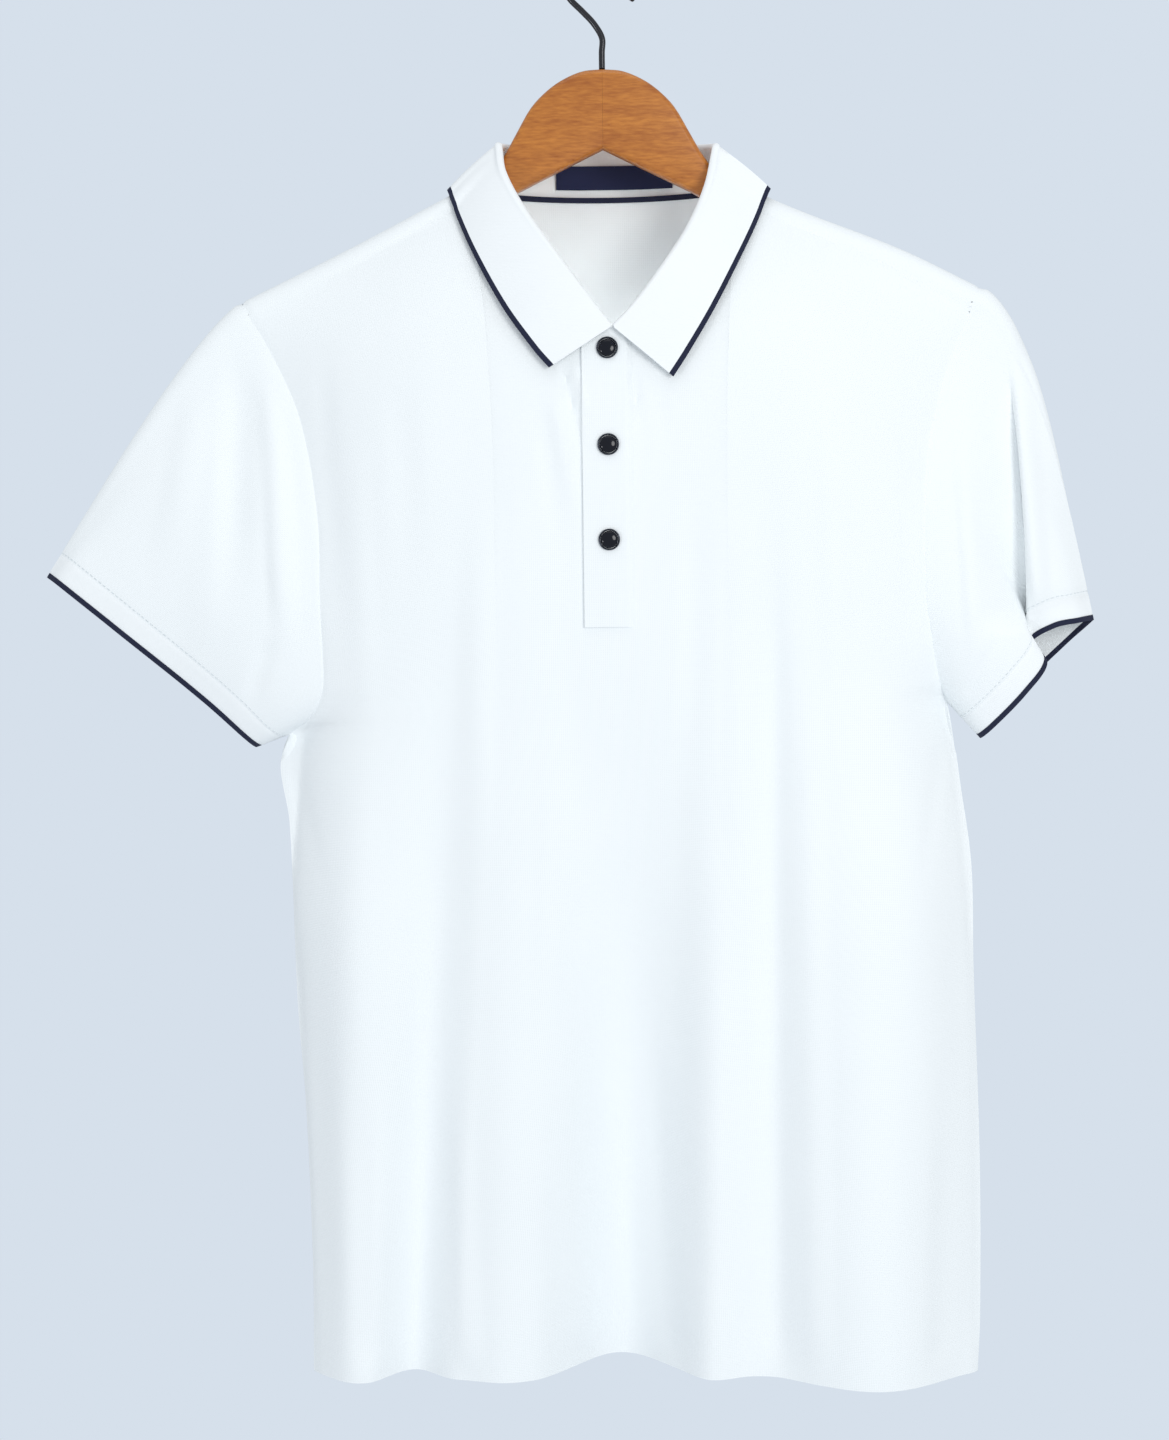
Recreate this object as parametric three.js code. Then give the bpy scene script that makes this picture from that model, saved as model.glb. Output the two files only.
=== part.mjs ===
// Short-sleeved polo shirt hung on a wooden hanger, in millimetres.
// The front faces -Y, the wearer's right is -X, +Z is up, and the origin is the inner top of the hook.

import * as THREE from 'three';

// Cloth walls and seams
const CLOTH = 1.5;
const SEAM_GAP = 0.3;
const LAYER = CLOTH + SEAM_GAP;

// Body sizes
const PLACKET_HALF = 14;
const PLACKET_BOTTOM = -399;
const NECK_HALF = 80;
const NECK_FRONT_Z = -229;
const NECK_FRONT_Y = -46;
const NECK_BACK_Z = -148;
const NECK_BACK_Y = 32;
const NECK_WRAP = 1.2;
const RIDGE_RADIUS = 9.5;
const DRAPE_LENGTH = 45;
const ARMPIT_MIDDLE_Z = -450;
const HEM_MIDDLE_Z = -843;

// Edges of the body: the armhole down to the armpit, then the side seam down to the hem
const RIGHT_EDGE = [
  { z: -208.5, frontX: -213, frontY: 0, backX: -213, backY: 0 },
  { z: -236, frontX: -196.5, frontY: -9, backX: -200, backY: 9 },
  { z: -277, frontX: -178.5, frontY: -19, backX: -188, backY: 19 },
  { z: -335, frontX: -168.5, frontY: -27, backX: -181, backY: 26 },
  { z: -382, frontX: -168, frontY: -30, backX: -179, backY: 28 },
  { z: -430, frontX: -167, frontY: -29, backX: -181, backY: 25 },
  { z: -443, frontX: -170.5, frontY: -25, backX: -184, backY: 19 },
  { z: -453, frontX: -178, frontY: -17, backX: -187, backY: 9 },
  { z: -462, frontX: -190, frontY: -4, backX: -190, backY: -4 },
  { z: -480, frontX: -195.5, frontY: -5, backX: -195.5, backY: -5 },
  { z: -515, frontX: -190.5, frontY: -8, backX: -190.5, backY: -8 },
  { z: -624, frontX: -187.5, frontY: -12, backX: -187.5, backY: -12 },
  { z: -686, frontX: -183.5, frontY: -15, backX: -183.5, backY: -15 },
  { z: -779, frontX: -181, frontY: -19, backX: -181, backY: -19 },
  { z: -846, frontX: -181.5, frontY: -22, backX: -181.5, backY: -22 },
];
const LEFT_EDGE = [
  { z: -204.5, frontX: 220, frontY: 0, backX: 220, backY: 0 },
  { z: -221, frontX: 213, frontY: -11, backX: 214, backY: 9 },
  { z: -239, frontX: 204, frontY: -14, backX: 207, backY: 14 },
  { z: -277, frontX: 191.5, frontY: -22, backX: 199, backY: 21 },
  { z: -312, frontX: 185.5, frontY: -26, backX: 195, backY: 25 },
  { z: -381, frontX: 185, frontY: -28, backX: 193, backY: 26 },
  { z: -411, frontX: 190, frontY: -24, backX: 195, backY: 20 },
  { z: -435, frontX: 195.5, frontY: -15, backX: 197.5, backY: 7 },
  { z: -446, frontX: 200, frontY: -7, backX: 200, backY: -7 },
  { z: -476, frontX: 205, frontY: -8, backX: 205, backY: -8 },
  { z: -495, frontX: 207.5, frontY: -9, backX: 207.5, backY: -9 },
  { z: -544, frontX: 214, frontY: -11, backX: 214, backY: -11 },
  { z: -605, frontX: 215, frontY: -14, backX: 215, backY: -14 },
  { z: -721, frontX: 218, frontY: -20, backX: 218, backY: -20 },
  { z: -815, frontX: 217.5, frontY: -26, backX: 217.5, backY: -26 },
  { z: -848, frontX: 215.5, frontY: -30, backX: 215.5, backY: -30 },
];

// Ridge of each shoulder over the hanger, and how far down its front the shoulder seam lies
const RIGHT_RIDGE = [
  { x: -80, z: -143, seam: 0.6 },
  { x: -149, z: -178, seam: 0.8 },
  { x: -213, z: -208.5, seam: 1 },
];
const LEFT_RIDGE = [
  { x: 80, z: -144, seam: 5 },
  { x: 115, z: -159, seam: 8.6 },
  { x: 174, z: -182, seam: 14 },
  { x: 220, z: -204.5, seam: 17 },
];

// Depth of the body along its middle line, front and back
const MIDDLE_DEPTH = [
  { z: -143, front: -44, back: 33 },
  { z: -300, front: -51, back: 38 },
  { z: -500, front: -49, back: 36 },
  { z: -843, front: -47, back: 31 },
];

// Hanging folds: a ridge stands out, a trough sinks in, and each grows from its start to the hem
const FRONT_FOLDS = [
  { topX: -135, hemX: -158, half: 26, out: 7, startZ: -220 },
  { topX: -96, hemX: -113, half: 27, out: -20, startZ: -330 },
  { topX: -44, hemX: -63, half: 34, out: 9, startZ: -260 },
  { topX: 14, hemX: -3, half: 48, out: -44, startZ: -340 },
  { topX: 62, hemX: 58, half: 24, out: 7, startZ: -270 },
  { topX: 150, hemX: 152, half: 70, out: 27, startZ: -270 },
];
const BACK_FOLDS = [
  { topX: -120, hemX: -132, half: 34, out: 12, startZ: -300 },
  { topX: -62, hemX: -70, half: 34, out: -10, startZ: -360 },
  { topX: 0, hemX: 4, half: 42, out: 12, startZ: -280 },
  { topX: 70, hemX: 76, half: 38, out: -12, startZ: -380 },
  { topX: 135, hemX: 146, half: 36, out: 12, startZ: -320 },
];

// Edge loops of the two sleeves, from the upper fold round the front to the underarm and back
const RIGHT_CUFF = [
  { turn: 0, x: -332.4, y: 0, z: -368.2 },
  { turn: 0.08, x: -322, y: -10, z: -374.5 },
  { turn: 0.2, x: -285, y: -15, z: -404 },
  { turn: 0.34, x: -240, y: -15, z: -441.5 },
  { turn: 0.45, x: -215, y: -12, z: -465 },
  { turn: 0.5, x: -210.5, y: -5, z: -469.5 },
  { turn: 0.55, x: -215, y: 3, z: -465 },
  { turn: 0.66, x: -240, y: 9, z: -441.5 },
  { turn: 0.8, x: -285, y: 11, z: -404 },
  { turn: 0.92, x: -322, y: 8, z: -374.5 },
  { turn: 1, x: -332.4, y: 0, z: -368.2 },
];
const LEFT_CUFF = [
  { turn: 0, x: 288.6, y: 0, z: -400.6 },
  { turn: 0.06, x: 278, y: -12, z: -401.5 },
  { turn: 0.12, x: 263, y: -16, z: -404 },
  { turn: 0.19, x: 250, y: -12, z: -413 },
  { turn: 0.26, x: 257.5, y: -19, z: -425 },
  { turn: 0.34, x: 245, y: -24, z: -442 },
  { turn: 0.44, x: 226, y: -18, z: -463 },
  { turn: 0.5, x: 220.8, y: -8, z: -469 },
  { turn: 0.58, x: 229, y: 4, z: -460 },
  { turn: 0.72, x: 252, y: 13, z: -438 },
  { turn: 0.88, x: 278, y: 13, z: -413 },
  { turn: 1, x: 288.6, y: 0, z: -400.6 },
];
const SLEEVE_PUFF = 7;
const ARMHOLE_EASE = 0.3;
const ARMHOLE_TURN = 5;
const RIB_DEPTH = 16.2;
const TIPPING = 3.2;

// Collar sections on each side, from the centre front to the neck point
const RIGHT_COLLAR = [
  { angle: 86, foldX: -5, foldY: -48.5, foldZ: -221, edgeX: -32.6, edgeZ: -250.4 },
  { angle: 75, foldX: -12.2, foldY: -47, foldZ: -211, edgeX: -41.5, edgeZ: -240 },
  { angle: 58, foldX: -29.6, foldY: -42, foldZ: -192, edgeX: -58, edgeZ: -216.5 },
  { angle: 38, foldX: -44, foldY: -31, foldZ: -162, edgeX: -74, edgeZ: -187 },
  { angle: 18, foldX: -54, foldY: -18, foldZ: -136, edgeX: -84.5, edgeZ: -163 },
  { angle: 0, foldX: -61, foldY: -4, foldZ: -118, edgeX: -91, edgeZ: -144.5 },
];
const LEFT_COLLAR = [
  { angle: 84, foldX: 9, foldY: -48.5, foldZ: -222.5, edgeX: 38.2, edgeZ: -256.3 },
  { angle: 73, foldX: 15.5, foldY: -47, foldZ: -215.5, edgeX: 47, edgeZ: -243 },
  { angle: 56, foldX: 32, foldY: -42, foldZ: -195, edgeX: 61.5, edgeZ: -219 },
  { angle: 37, foldX: 46.5, foldY: -31, foldZ: -170, edgeX: 76.5, edgeZ: -191 },
  { angle: 18, foldX: 58, foldY: -18, foldZ: -145, edgeX: 88, edgeZ: -168 },
  { angle: 0, foldX: 66, foldY: -4, foldZ: -120, edgeX: 97, edgeZ: -147 },
];
const COLLAR_BACK = { foldY: 35, foldZ: -116, edgeY: 46, edgeZ: -163 };
const COLLAR_OVER_FRONT = 4.6;
const COLLAR_SEAM_LIFT = 1.9;
const FOLD_HALF = 1.8;

// Neck tape and label
const TAPE_HEIGHT = 3.2;
const TAPE_RISE = -0.5;
const TAPE_ANGLES = [20, 34, 48, 62, 76, 90, 104, 118, 132, 146, 160];
const LABEL = { fromX: -27.8, toX: 41.4, low: 0.16, high: 0.66 };

// Snap buttons down the placket
const SNAP_X = 0.7;
const SNAP_HEIGHTS = [-240.6, -295.1, -349];
const SNAP_RADIUS = 6.2;
const SNAP_RIM = 1;
const SNAP_RISE = 2.4;
const SNAP_DOME_START = 0.8;
const SNAP_RIM_HEIGHTS = { outer: 0.9, inner: 1.3 };
const SNAP_SIDES = 18;

// Hanger: outline of an arm from the middle outwards, and the hook
const ARM_TOP = [
  { x: 0, z: -76 },
  { x: 12, z: -77.2 },
  { x: 24.6, z: -82.6 },
  { x: 34, z: -89.5 },
  { x: 42.3, z: -98.4 },
  { x: 50, z: -111.5 },
  { x: 57.3, z: -124.2 },
  { x: 65, z: -134.5 },
  { x: 79, z: -150 },
];
const ARM_UNDER = [
  { x: 0, z: -121.9 },
  { x: 25, z: -134 },
  { x: 50.6, z: -146.5 },
];
const ARM_TOP_REST = [96, 115, 145, 175];
const ARM_UNDER_REST = [170, 130, 96];
const ARM_THICKNESS = 12;
const ARM_ROUNDING = 3.5;
const ARM_DEPTH = 19;
const ARM_REACH = 205;
const ARM_FROM_RIDGE = CLOTH / 2 + 1.9;
const HOOK_WIRE = 1.8;
const HOOK_RADIUS = 23;
const HOOK_STEM = [
  { x: 0, z: -66 },
  { x: 0.2, z: -57.7 },
  { x: -4.5, z: -49.5 },
  { x: -11, z: -42.5 },
];
const HOOK_ANGLES = [218, 198, 178, 158, 138, 118, 98, 78, 58, 38, 18, -2, -22, -42];

// Columns and rows of the cloth grids, closer together where the cloth bends
const NECK_ANGLES = [72, 54, 36, 18];
const OUTER_SHARES = [0.44, 0.56, 0.68, 0.79, 0.88, 0.94, 0.98, 1];
const PLACKET_LEVEL = (NECK_FRONT_Z - PLACKET_BOTTOM) / (NECK_FRONT_Z - ARMPIT_MIDDLE_Z);
const SHOULDER_LEVELS = [0, 0.006, 0.016, 0.036, 0.08, 0.16, 0.27, 0.39, 0.52, 0.65];
const ARMPIT_LEVELS = [0.86, 0.92, 0.965, 1];
const UPPER_LEVELS = [...SHOULDER_LEVELS, PLACKET_LEVEL, ...ARMPIT_LEVELS];
const WRAP_PARTS = [0, 0.35, 0.6, 0.8];
const LOWER_STEPS = 8;
const LEVELS = [...UPPER_LEVELS];
for (let step = 1; step <= LOWER_STEPS; step += 1) LEVELS.push(1 + step / LOWER_STEPS);
const SLEEVE_STEPS = [0, 0.1, 0.24, 0.4, 0.56, 0.72, 0.87, 1];
const COLLAR_ANGLES = [0, 8, 16, 26, 38, 52, 64, 72, 82, 90, 102, 115, 128, 141, 154, 167, 180];
const COLLAR_PARTS = [0, 1, 2, 3, 4, 4.7, 5.3];

// The two sides and the two faces of the shirt
const RIGHT = {
  sign: -1,
  edge: RIGHT_EDGE,
  ridge: RIGHT_RIDGE,
  armpitZ: -462,
  hemZ: -846,
  cuff: RIGHT_CUFF,
  collar: RIGHT_COLLAR,
  headBulge: 7,
};
const LEFT = {
  sign: 1,
  edge: LEFT_EDGE,
  ridge: LEFT_RIDGE,
  armpitZ: -446,
  hemZ: -848,
  cuff: LEFT_CUFF,
  collar: LEFT_COLLAR,
  headBulge: 16,
};
const FRONT = { sign: -1, x: 'frontX', y: 'frontY', depth: 'front', folds: FRONT_FOLDS };
const BACK = { sign: 1, x: 'backX', y: 'backY', depth: 'back', folds: BACK_FOLDS };

const mix = (from, to, share) => from + (to - from) * share;
const radians = (degrees) => (degrees * Math.PI) / 180;

// One column of a table read at a place along another, on a smooth curve through its rows
function read(table, key, at, column) {
  const last = table.length - 1;
  const way = Math.sign(table[last][key] - table[0][key]);
  if ((at - table[0][key]) * way <= 0) return table[0][column];
  if ((at - table[last][key]) * way >= 0) return table[last][column];
  let row = 0;
  while ((at - table[row + 1][key]) * way > 0) row += 1;
  const slope = (a, b) => (table[b][column] - table[a][column]) / (table[b][key] - table[a][key]);
  const span = table[row + 1][key] - table[row][key];
  const t = (at - table[row][key]) / span;
  const leave = slope(Math.max(row - 1, 0), row + 1) * span;
  const arrive = slope(row, Math.min(row + 2, last)) * span;
  const blend = t * t * (3 - 2 * t);
  const bend = t * (1 - t) * (leave * (1 - t) - arrive * t);
  return mix(table[row][column], table[row + 1][column], blend) + bend;
}

// How far the hanging folds move the cloth outwards at a place on a panel
function foldsAt(folds, x, z) {
  let out = 0;
  for (const fold of folds) {
    const fallen = THREE.MathUtils.clamp((fold.startZ - z) / (fold.startZ - HEM_MIDDLE_Z), 0, 1);
    const line = mix(fold.topX, fold.hemX, fallen);
    const off = Math.abs(x - line) / fold.half;
    const grown = THREE.MathUtils.smoothstep(fallen, 0, 1);
    if (off < 1) out += fold.out * grown * (0.5 + 0.5 * Math.cos(off * Math.PI));
  }
  return out;
}

// Middle line of the cloth over the shoulder: its depth at a drop below the ridge
function overRidge(drop) {
  const bent = Math.min(drop, RIDGE_RADIUS);
  return Math.sqrt(2 * RIDGE_RADIUS * bent - bent * bent);
}

const tipX = (side) => Math.abs(side.edge[0].frontX);
const shoulderShare = (side) => (NECK_HALF - PLACKET_HALF) / (tipX(side) - PLACKET_HALF);

// Where a panel starts: on the shoulder, or on the neckline between the neck point and the middle
function panelTop(face, side, share) {
  const x = side.sign * mix(PLACKET_HALF, tipX(side), share);
  const ridgeX = side.sign * Math.max(Math.abs(x), NECK_HALF);
  const ridgeZ = read(side.ridge, 'x', ridgeX, 'z');
  const seam = face === FRONT ? read(side.ridge, 'x', ridgeX, 'seam') : 0;
  if (share >= shoulderShare(side)) {
    return { z: ridgeZ - seam, ridgeZ, turn: 0, y: 0 };
  }
  const turn = Math.sqrt(1 - (x / NECK_HALF) ** 2);
  const middleZ = face === FRONT ? NECK_FRONT_Z : NECK_BACK_Z;
  const middleY = face === FRONT ? NECK_FRONT_Y : NECK_BACK_Y;
  const startY = face.sign * overRidge(seam);
  return { z: mix(ridgeZ - seam, middleZ, turn), ridgeZ, turn, y: mix(startY, middleY, turn) };
}

// A point of a panel: share runs from the placket's edge out to the armhole or side seam,
// and level runs from 0 at the top to 1 at the armpits and 2 at the hem
function panelPoint(face, side, share, level) {
  const top = panelTop(face, side, share);
  const edgeTop = panelTop(face, side, 1).z;
  const armpitZ = mix(ARMPIT_MIDDLE_Z, side.armpitZ, share);
  const hemZ = mix(HEM_MIDDLE_Z, side.hemZ, share * share);
  const above = Math.min(level, 1);
  const below = Math.max(level - 1, 0);
  const edgeZ = level <= 1 ? mix(edgeTop, side.armpitZ, above) : mix(side.armpitZ, side.hemZ, below);
  const z = level <= 1 ? mix(top.z, armpitZ, above) : mix(armpitZ, hemZ, below);
  const x = mix(side.sign * PLACKET_HALF, read(side.edge, 'z', edgeZ, face.x), share);
  const edgeY = read(side.edge, 'z', edgeZ, face.y);
  const middleY = read(MIDDLE_DEPTH, 'z', z, face.depth);
  const roundness = THREE.MathUtils.smoothstep(level, 1, 1.3);
  const swell = mix(1 - share ** 4, Math.cbrt(1 - share ** 3), roundness);
  const body = mix(edgeY, middleY + face.sign * foldsAt(face.folds, x, z), swell);
  const drop = Math.max(top.ridgeZ - z, 0);
  const onShoulder = top.turn === 0;
  const start = onShoulder ? face.sign * overRidge(drop) : top.y;
  const hung = onShoulder ? Math.max(drop - RIDGE_RADIUS, 0) : top.z - z;
  const reach = 1 - (1 - above) * Math.exp(-hung / DRAPE_LENGTH);
  return new THREE.Vector3(x, mix(start, body, reach), z);
}

// A point of the middle strip, between the placket's two edges
function middlePoint(face, x, level) {
  const share = (x + PLACKET_HALF) / (2 * PLACKET_HALF);
  const point = panelPoint(face, RIGHT, 0, level).lerp(panelPoint(face, LEFT, 0, level), share);
  point.x = x;
  return point;
}

// The front's depth at a place given by x and z
function frontDepthAt(x, z) {
  const side = x < 0 ? RIGHT : LEFT;
  if (Math.abs(x) <= PLACKET_HALF) {
    const top = panelTop(FRONT, side, 0).z;
    return middlePoint(FRONT, x, Math.max((z - top) / (ARMPIT_MIDDLE_Z - top), 0)).y;
  }
  let level = 0.3;
  let point;
  for (let pass = 0; pass < 12; pass += 1) {
    const edge = panelPoint(FRONT, side, 1, level);
    const placketX = side.sign * PLACKET_HALF;
    const share = THREE.MathUtils.clamp((x - placketX) / (edge.x - placketX), 0, 1);
    const top = panelTop(FRONT, side, share).z;
    level = Math.max((z - top) / (mix(ARMPIT_MIDDLE_Z, side.armpitZ, share) - top), 0);
    point = panelPoint(FRONT, side, share, Math.min(level, 1));
  }
  return point.y;
}

function sharesOf(side) {
  const reach = tipX(side) - PLACKET_HALF;
  const neck = NECK_ANGLES.map((angle) => (NECK_HALF * Math.cos(radians(angle)) - PLACKET_HALF) / reach);
  return [0, ...neck, shoulderShare(side), ...OUTER_SHARES];
}

function panelRow(face, level) {
  const right = sharesOf(RIGHT).reverse().map((share) => panelPoint(face, RIGHT, share, level));
  const left = sharesOf(LEFT).map((share) => panelPoint(face, LEFT, share, level));
  return [...right, middlePoint(face, 0, level), ...left];
}

// Front of the shoulder ridge, between the ridge and the shoulder seam, cut in one with the back
function wrapPoint(side, share, part) {
  const seamPoint = panelPoint(FRONT, side, share, 0);
  const ridgePoint = panelPoint(BACK, side, share, 0);
  if (share < shoulderShare(side)) {
    return ridgePoint.add(new THREE.Vector3(0, 0, NECK_WRAP * (1 - part)));
  }
  const drop = (ridgePoint.z - seamPoint.z) * (1 - part) ** 2;
  const depth = part === 0 ? seamPoint.y : -overRidge(drop);
  return new THREE.Vector3(mix(seamPoint.x, ridgePoint.x, part), depth, ridgePoint.z - drop);
}

function wrapRow(part) {
  const right = sharesOf(RIGHT).reverse().map((share) => wrapPoint(RIGHT, share, part));
  const left = sharesOf(LEFT).map((share) => wrapPoint(LEFT, share, part));
  const middle = middlePoint(BACK, 0, 0).add(new THREE.Vector3(0, 0, NECK_WRAP * (1 - part)));
  return [...right, middle, ...left];
}

// Cloth pieces are grids of middle points, and sewn edges share their thickness direction
const sewn = new Map();
const keyOf = (point) => point.toArray().map((value) => value.toFixed(2)).join(' ');

function cloth(name, rows, options = {}) {
  const { closed = false, outward = 1, skip = () => false } = options;
  const wide = rows[0].length;
  const cells = [];
  for (let row = 0; row < rows.length - 1; row += 1) {
    for (let column = 0; column < wide - (closed ? 0 : 1); column += 1) {
      const next = (column + 1) % wide;
      if (skip(row, column)) continue;
      const upper = row * wide;
      const lower = upper + wide;
      cells.push([upper + column, upper + next, lower + next, lower + column]);
    }
  }
  const points = rows.flat();
  const normals = points.map(() => new THREE.Vector3());
  for (const [a, b, c, d] of cells) {
    const across = points[c].clone().sub(points[a]);
    const other = points[d].clone().sub(points[b]);
    const normal = across.cross(other).normalize().multiplyScalar(outward);
    for (const corner of [a, b, c, d]) normals[corner].add(normal);
  }
  for (const normal of normals) normal.normalize();
  const piece = { name, points, normals, cells, ...options };
  const edge = new Set(borderOf(piece).flatMap(({ from, to }) => [from, to]));
  for (const index of edge) {
    const key = keyOf(points[index]);
    if (!sewn.has(key)) sewn.set(key, new THREE.Vector3());
    sewn.get(key).add(normals[index]);
  }
  return piece;
}

// Directed edges that only one cell uses, with the way into the cloth
function borderOf(piece) {
  const edges = new Map();
  for (const cell of piece.cells) {
    cell.forEach((from, corner) => {
      const to = cell[(corner + 1) % 4];
      if (edges.has(`${to} ${from}`)) edges.delete(`${to} ${from}`);
      else edges.set(`${from} ${to}`, { from, to, cell });
    });
  }
  return [...edges.values()];
}

// Draws a piece's border in by half a seam gap, so that sewn pieces keep the gap
function drawnIn(piece, border) {
  const points = piece.points.map((point) => point.clone());
  const inward = new Map();
  for (const { from, to, cell } of border) {
    const along = piece.points[to].clone().sub(piece.points[from]).normalize();
    const centre = new THREE.Vector3();
    for (const corner of cell) centre.addScaledVector(piece.points[corner], 1 / 4);
    const into = centre.sub(piece.points[from]);
    for (const corner of [from, to]) {
      const square = along.clone().cross(sewn.get(keyOf(piece.points[corner]))).normalize();
      square.multiplyScalar(Math.sign(square.dot(into)));
      if (!inward.has(corner)) inward.set(corner, []);
      inward.get(corner).push(square);
    }
  }
  for (const [corner, ways] of inward) {
    const both = ways.reduce((sum, way) => sum.add(way), new THREE.Vector3());
    const spread = ways.length > 1 ? Math.max(1 + ways[0].dot(ways[1]), 0.5) : 1;
    points[corner].addScaledVector(both, (SEAM_GAP / 2 + (piece.ease ?? 0)) / spread);
  }
  return points;
}

// Thickness directions: shared along the seams, and turning to the sleeve's own near an armhole
function thicknessWays(piece) {
  const wide = piece.cells[0][3] - piece.cells[0][0];
  return piece.points.map((point, index) => {
    const shared = sewn.get(keyOf(point));
    if (shared) return shared.clone().normalize();
    if (!piece.ease) return piece.normals[index];
    const start = piece.points[index % wide];
    const turned = Math.min(point.distanceTo(start) / ARMHOLE_TURN, 1);
    return sewn.get(keyOf(start)).clone().normalize().lerp(piece.normals[index], turned).normalize();
  });
}

// The closed wall of a piece, as a mesh
function clothMesh(piece, material) {
  const border = borderOf(piece);
  const middle = drawnIn(piece, border);
  const thick = piece.thick ?? CLOTH;
  const count = middle.length;
  const positions = [];
  const normals = thicknessWays(piece);
  for (const way of [1, -1]) {
    middle.forEach((point, index) => {
      const normal = normals[index];
      positions.push(...point.clone().addScaledVector(normal, (way * thick) / 2).toArray());
    });
  }
  const faces = [];
  for (const [a, b, c, d] of piece.cells) {
    faces.push([a, c, b], [a, d, c]);
    faces.push([a + count, b + count, c + count], [a + count, c + count, d + count]);
  }
  for (const { from, to } of border) {
    const first = keyOf(piece.points[from]) < keyOf(piece.points[to]);
    if (first) faces.push([from, to, to + count], [from, to + count, from + count]);
    else faces.push([from, to, from + count], [to, to + count, from + count]);
  }
  const flip = (piece.outward ?? 1) > 0;
  const index = faces.flatMap(([a, b, c]) => (flip ? [a, c, b] : [a, b, c]));
  const geometry = new THREE.BufferGeometry();
  geometry.setAttribute('position', new THREE.Float32BufferAttribute(positions, 3));
  geometry.setIndex(index);
  return meshOf(piece.name, geometry, material);
}

function meshOf(name, geometry, material) {
  const mesh = new THREE.Mesh(geometry, material);
  mesh.name = name;
  return mesh;
}

// Front and back of the body
function frontPanel() {
  const placketRow = UPPER_LEVELS.indexOf(PLACKET_LEVEL);
  const leftOfMiddle = sharesOf(RIGHT).length - 1;
  const skip = (row, column) => row < placketRow && [leftOfMiddle, leftOfMiddle + 1].includes(column);
  return cloth('front_panel', LEVELS.map((level) => panelRow(FRONT, level)), { skip });
}

function backPanel() {
  const rows = [...WRAP_PARTS.map(wrapRow), ...LEVELS.map((level) => panelRow(BACK, level))];
  return cloth('back_panel', rows, { outward: -1 });
}

// Placket strips at the centre front, the under one at the body's level
function placketStrip(name, raised) {
  const levels = UPPER_LEVELS.slice(0, UPPER_LEVELS.indexOf(PLACKET_LEVEL) + 1);
  const forward = new THREE.Vector3(0, -raised, 0);
  const across = [-PLACKET_HALF, 0, PLACKET_HALF];
  return cloth(name, levels.map((level) => across.map((x) => middlePoint(FRONT, x, level).add(forward))));
}

// The armhole's points, from the shoulder seam down the front and up the back
function armholeLoop(side) {
  const front = UPPER_LEVELS.map((level) => panelPoint(FRONT, side, 1, level));
  const back = UPPER_LEVELS.slice(0, -1).reverse().map((level) => panelPoint(BACK, side, 1, level));
  const wrap = WRAP_PARTS.slice(1).reverse().map((part) => wrapPoint(side, 1, part));
  return { front, loop: [...front, ...back, ...wrap] };
}

// How far round the sleeve each armhole point lies: the front is the first half
function turnsOf(side) {
  const { front, loop } = armholeLoop(side);
  const lengths = [0];
  loop.slice(1).forEach((point, index) => lengths.push(lengths[index] + point.distanceTo(loop[index])));
  const underarm = lengths[front.length - 1];
  const whole = lengths[loop.length - 1] + loop[loop.length - 1].distanceTo(loop[0]);
  return lengths.map((length) => {
    if (length <= underarm) return (0.5 * length) / underarm;
    return 0.5 + (0.5 * (length - underarm)) / (whole - underarm);
  });
}

// A sleeve's lines, each from an armhole point to the sleeve's edge
function sleeveLines(side) {
  const turns = turnsOf(side);
  return armholeLoop(side).loop.map((start, index) => {
    const turn = turns[index];
    const end = new THREE.Vector3(
      read(side.cuff, 'turn', turn, 'x'),
      read(side.cuff, 'turn', turn, 'y'),
      read(side.cuff, 'turn', turn, 'z'),
    );
    return { start, end, turn, length: start.distanceTo(end) };
  });
}

function sleevePoint(side, line, share) {
  const point = line.start.clone().lerp(line.end, share);
  const crown = Math.cos(Math.PI * line.turn) ** 4;
  const swell = Math.sin(Math.PI * share);
  const head = side.headBulge * crown * Math.sin(Math.PI * share ** 0.6);
  point.x += side.sign * head;
  point.z += head * 0.4;
  point.y -= SLEEVE_PUFF * swell * Math.sin(2 * Math.PI * line.turn);
  return point;
}

function sleeveBand(name, side, fromEdge, toEdge, steps) {
  const lines = sleeveLines(side);
  const rows = steps.map((step) => lines.map((line) => {
    const from = fromEdge === null ? 0 : 1 - fromEdge / line.length;
    const to = 1 - toEdge / line.length;
    return sleevePoint(side, line, mix(from, to, step));
  }));
  const ease = fromEdge === null ? ARMHOLE_EASE : 0;
  return cloth(name, rows, { closed: true, outward: -side.sign, ease });
}

// A point of the neckline at a distance from the middle
function necklinePoint(face, side, distance) {
  if (distance <= PLACKET_HALF) return middlePoint(face, side.sign * distance, 0);
  return panelPoint(face, side, (distance - PLACKET_HALF) / (tipX(side) - PLACKET_HALF), 0);
}

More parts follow.
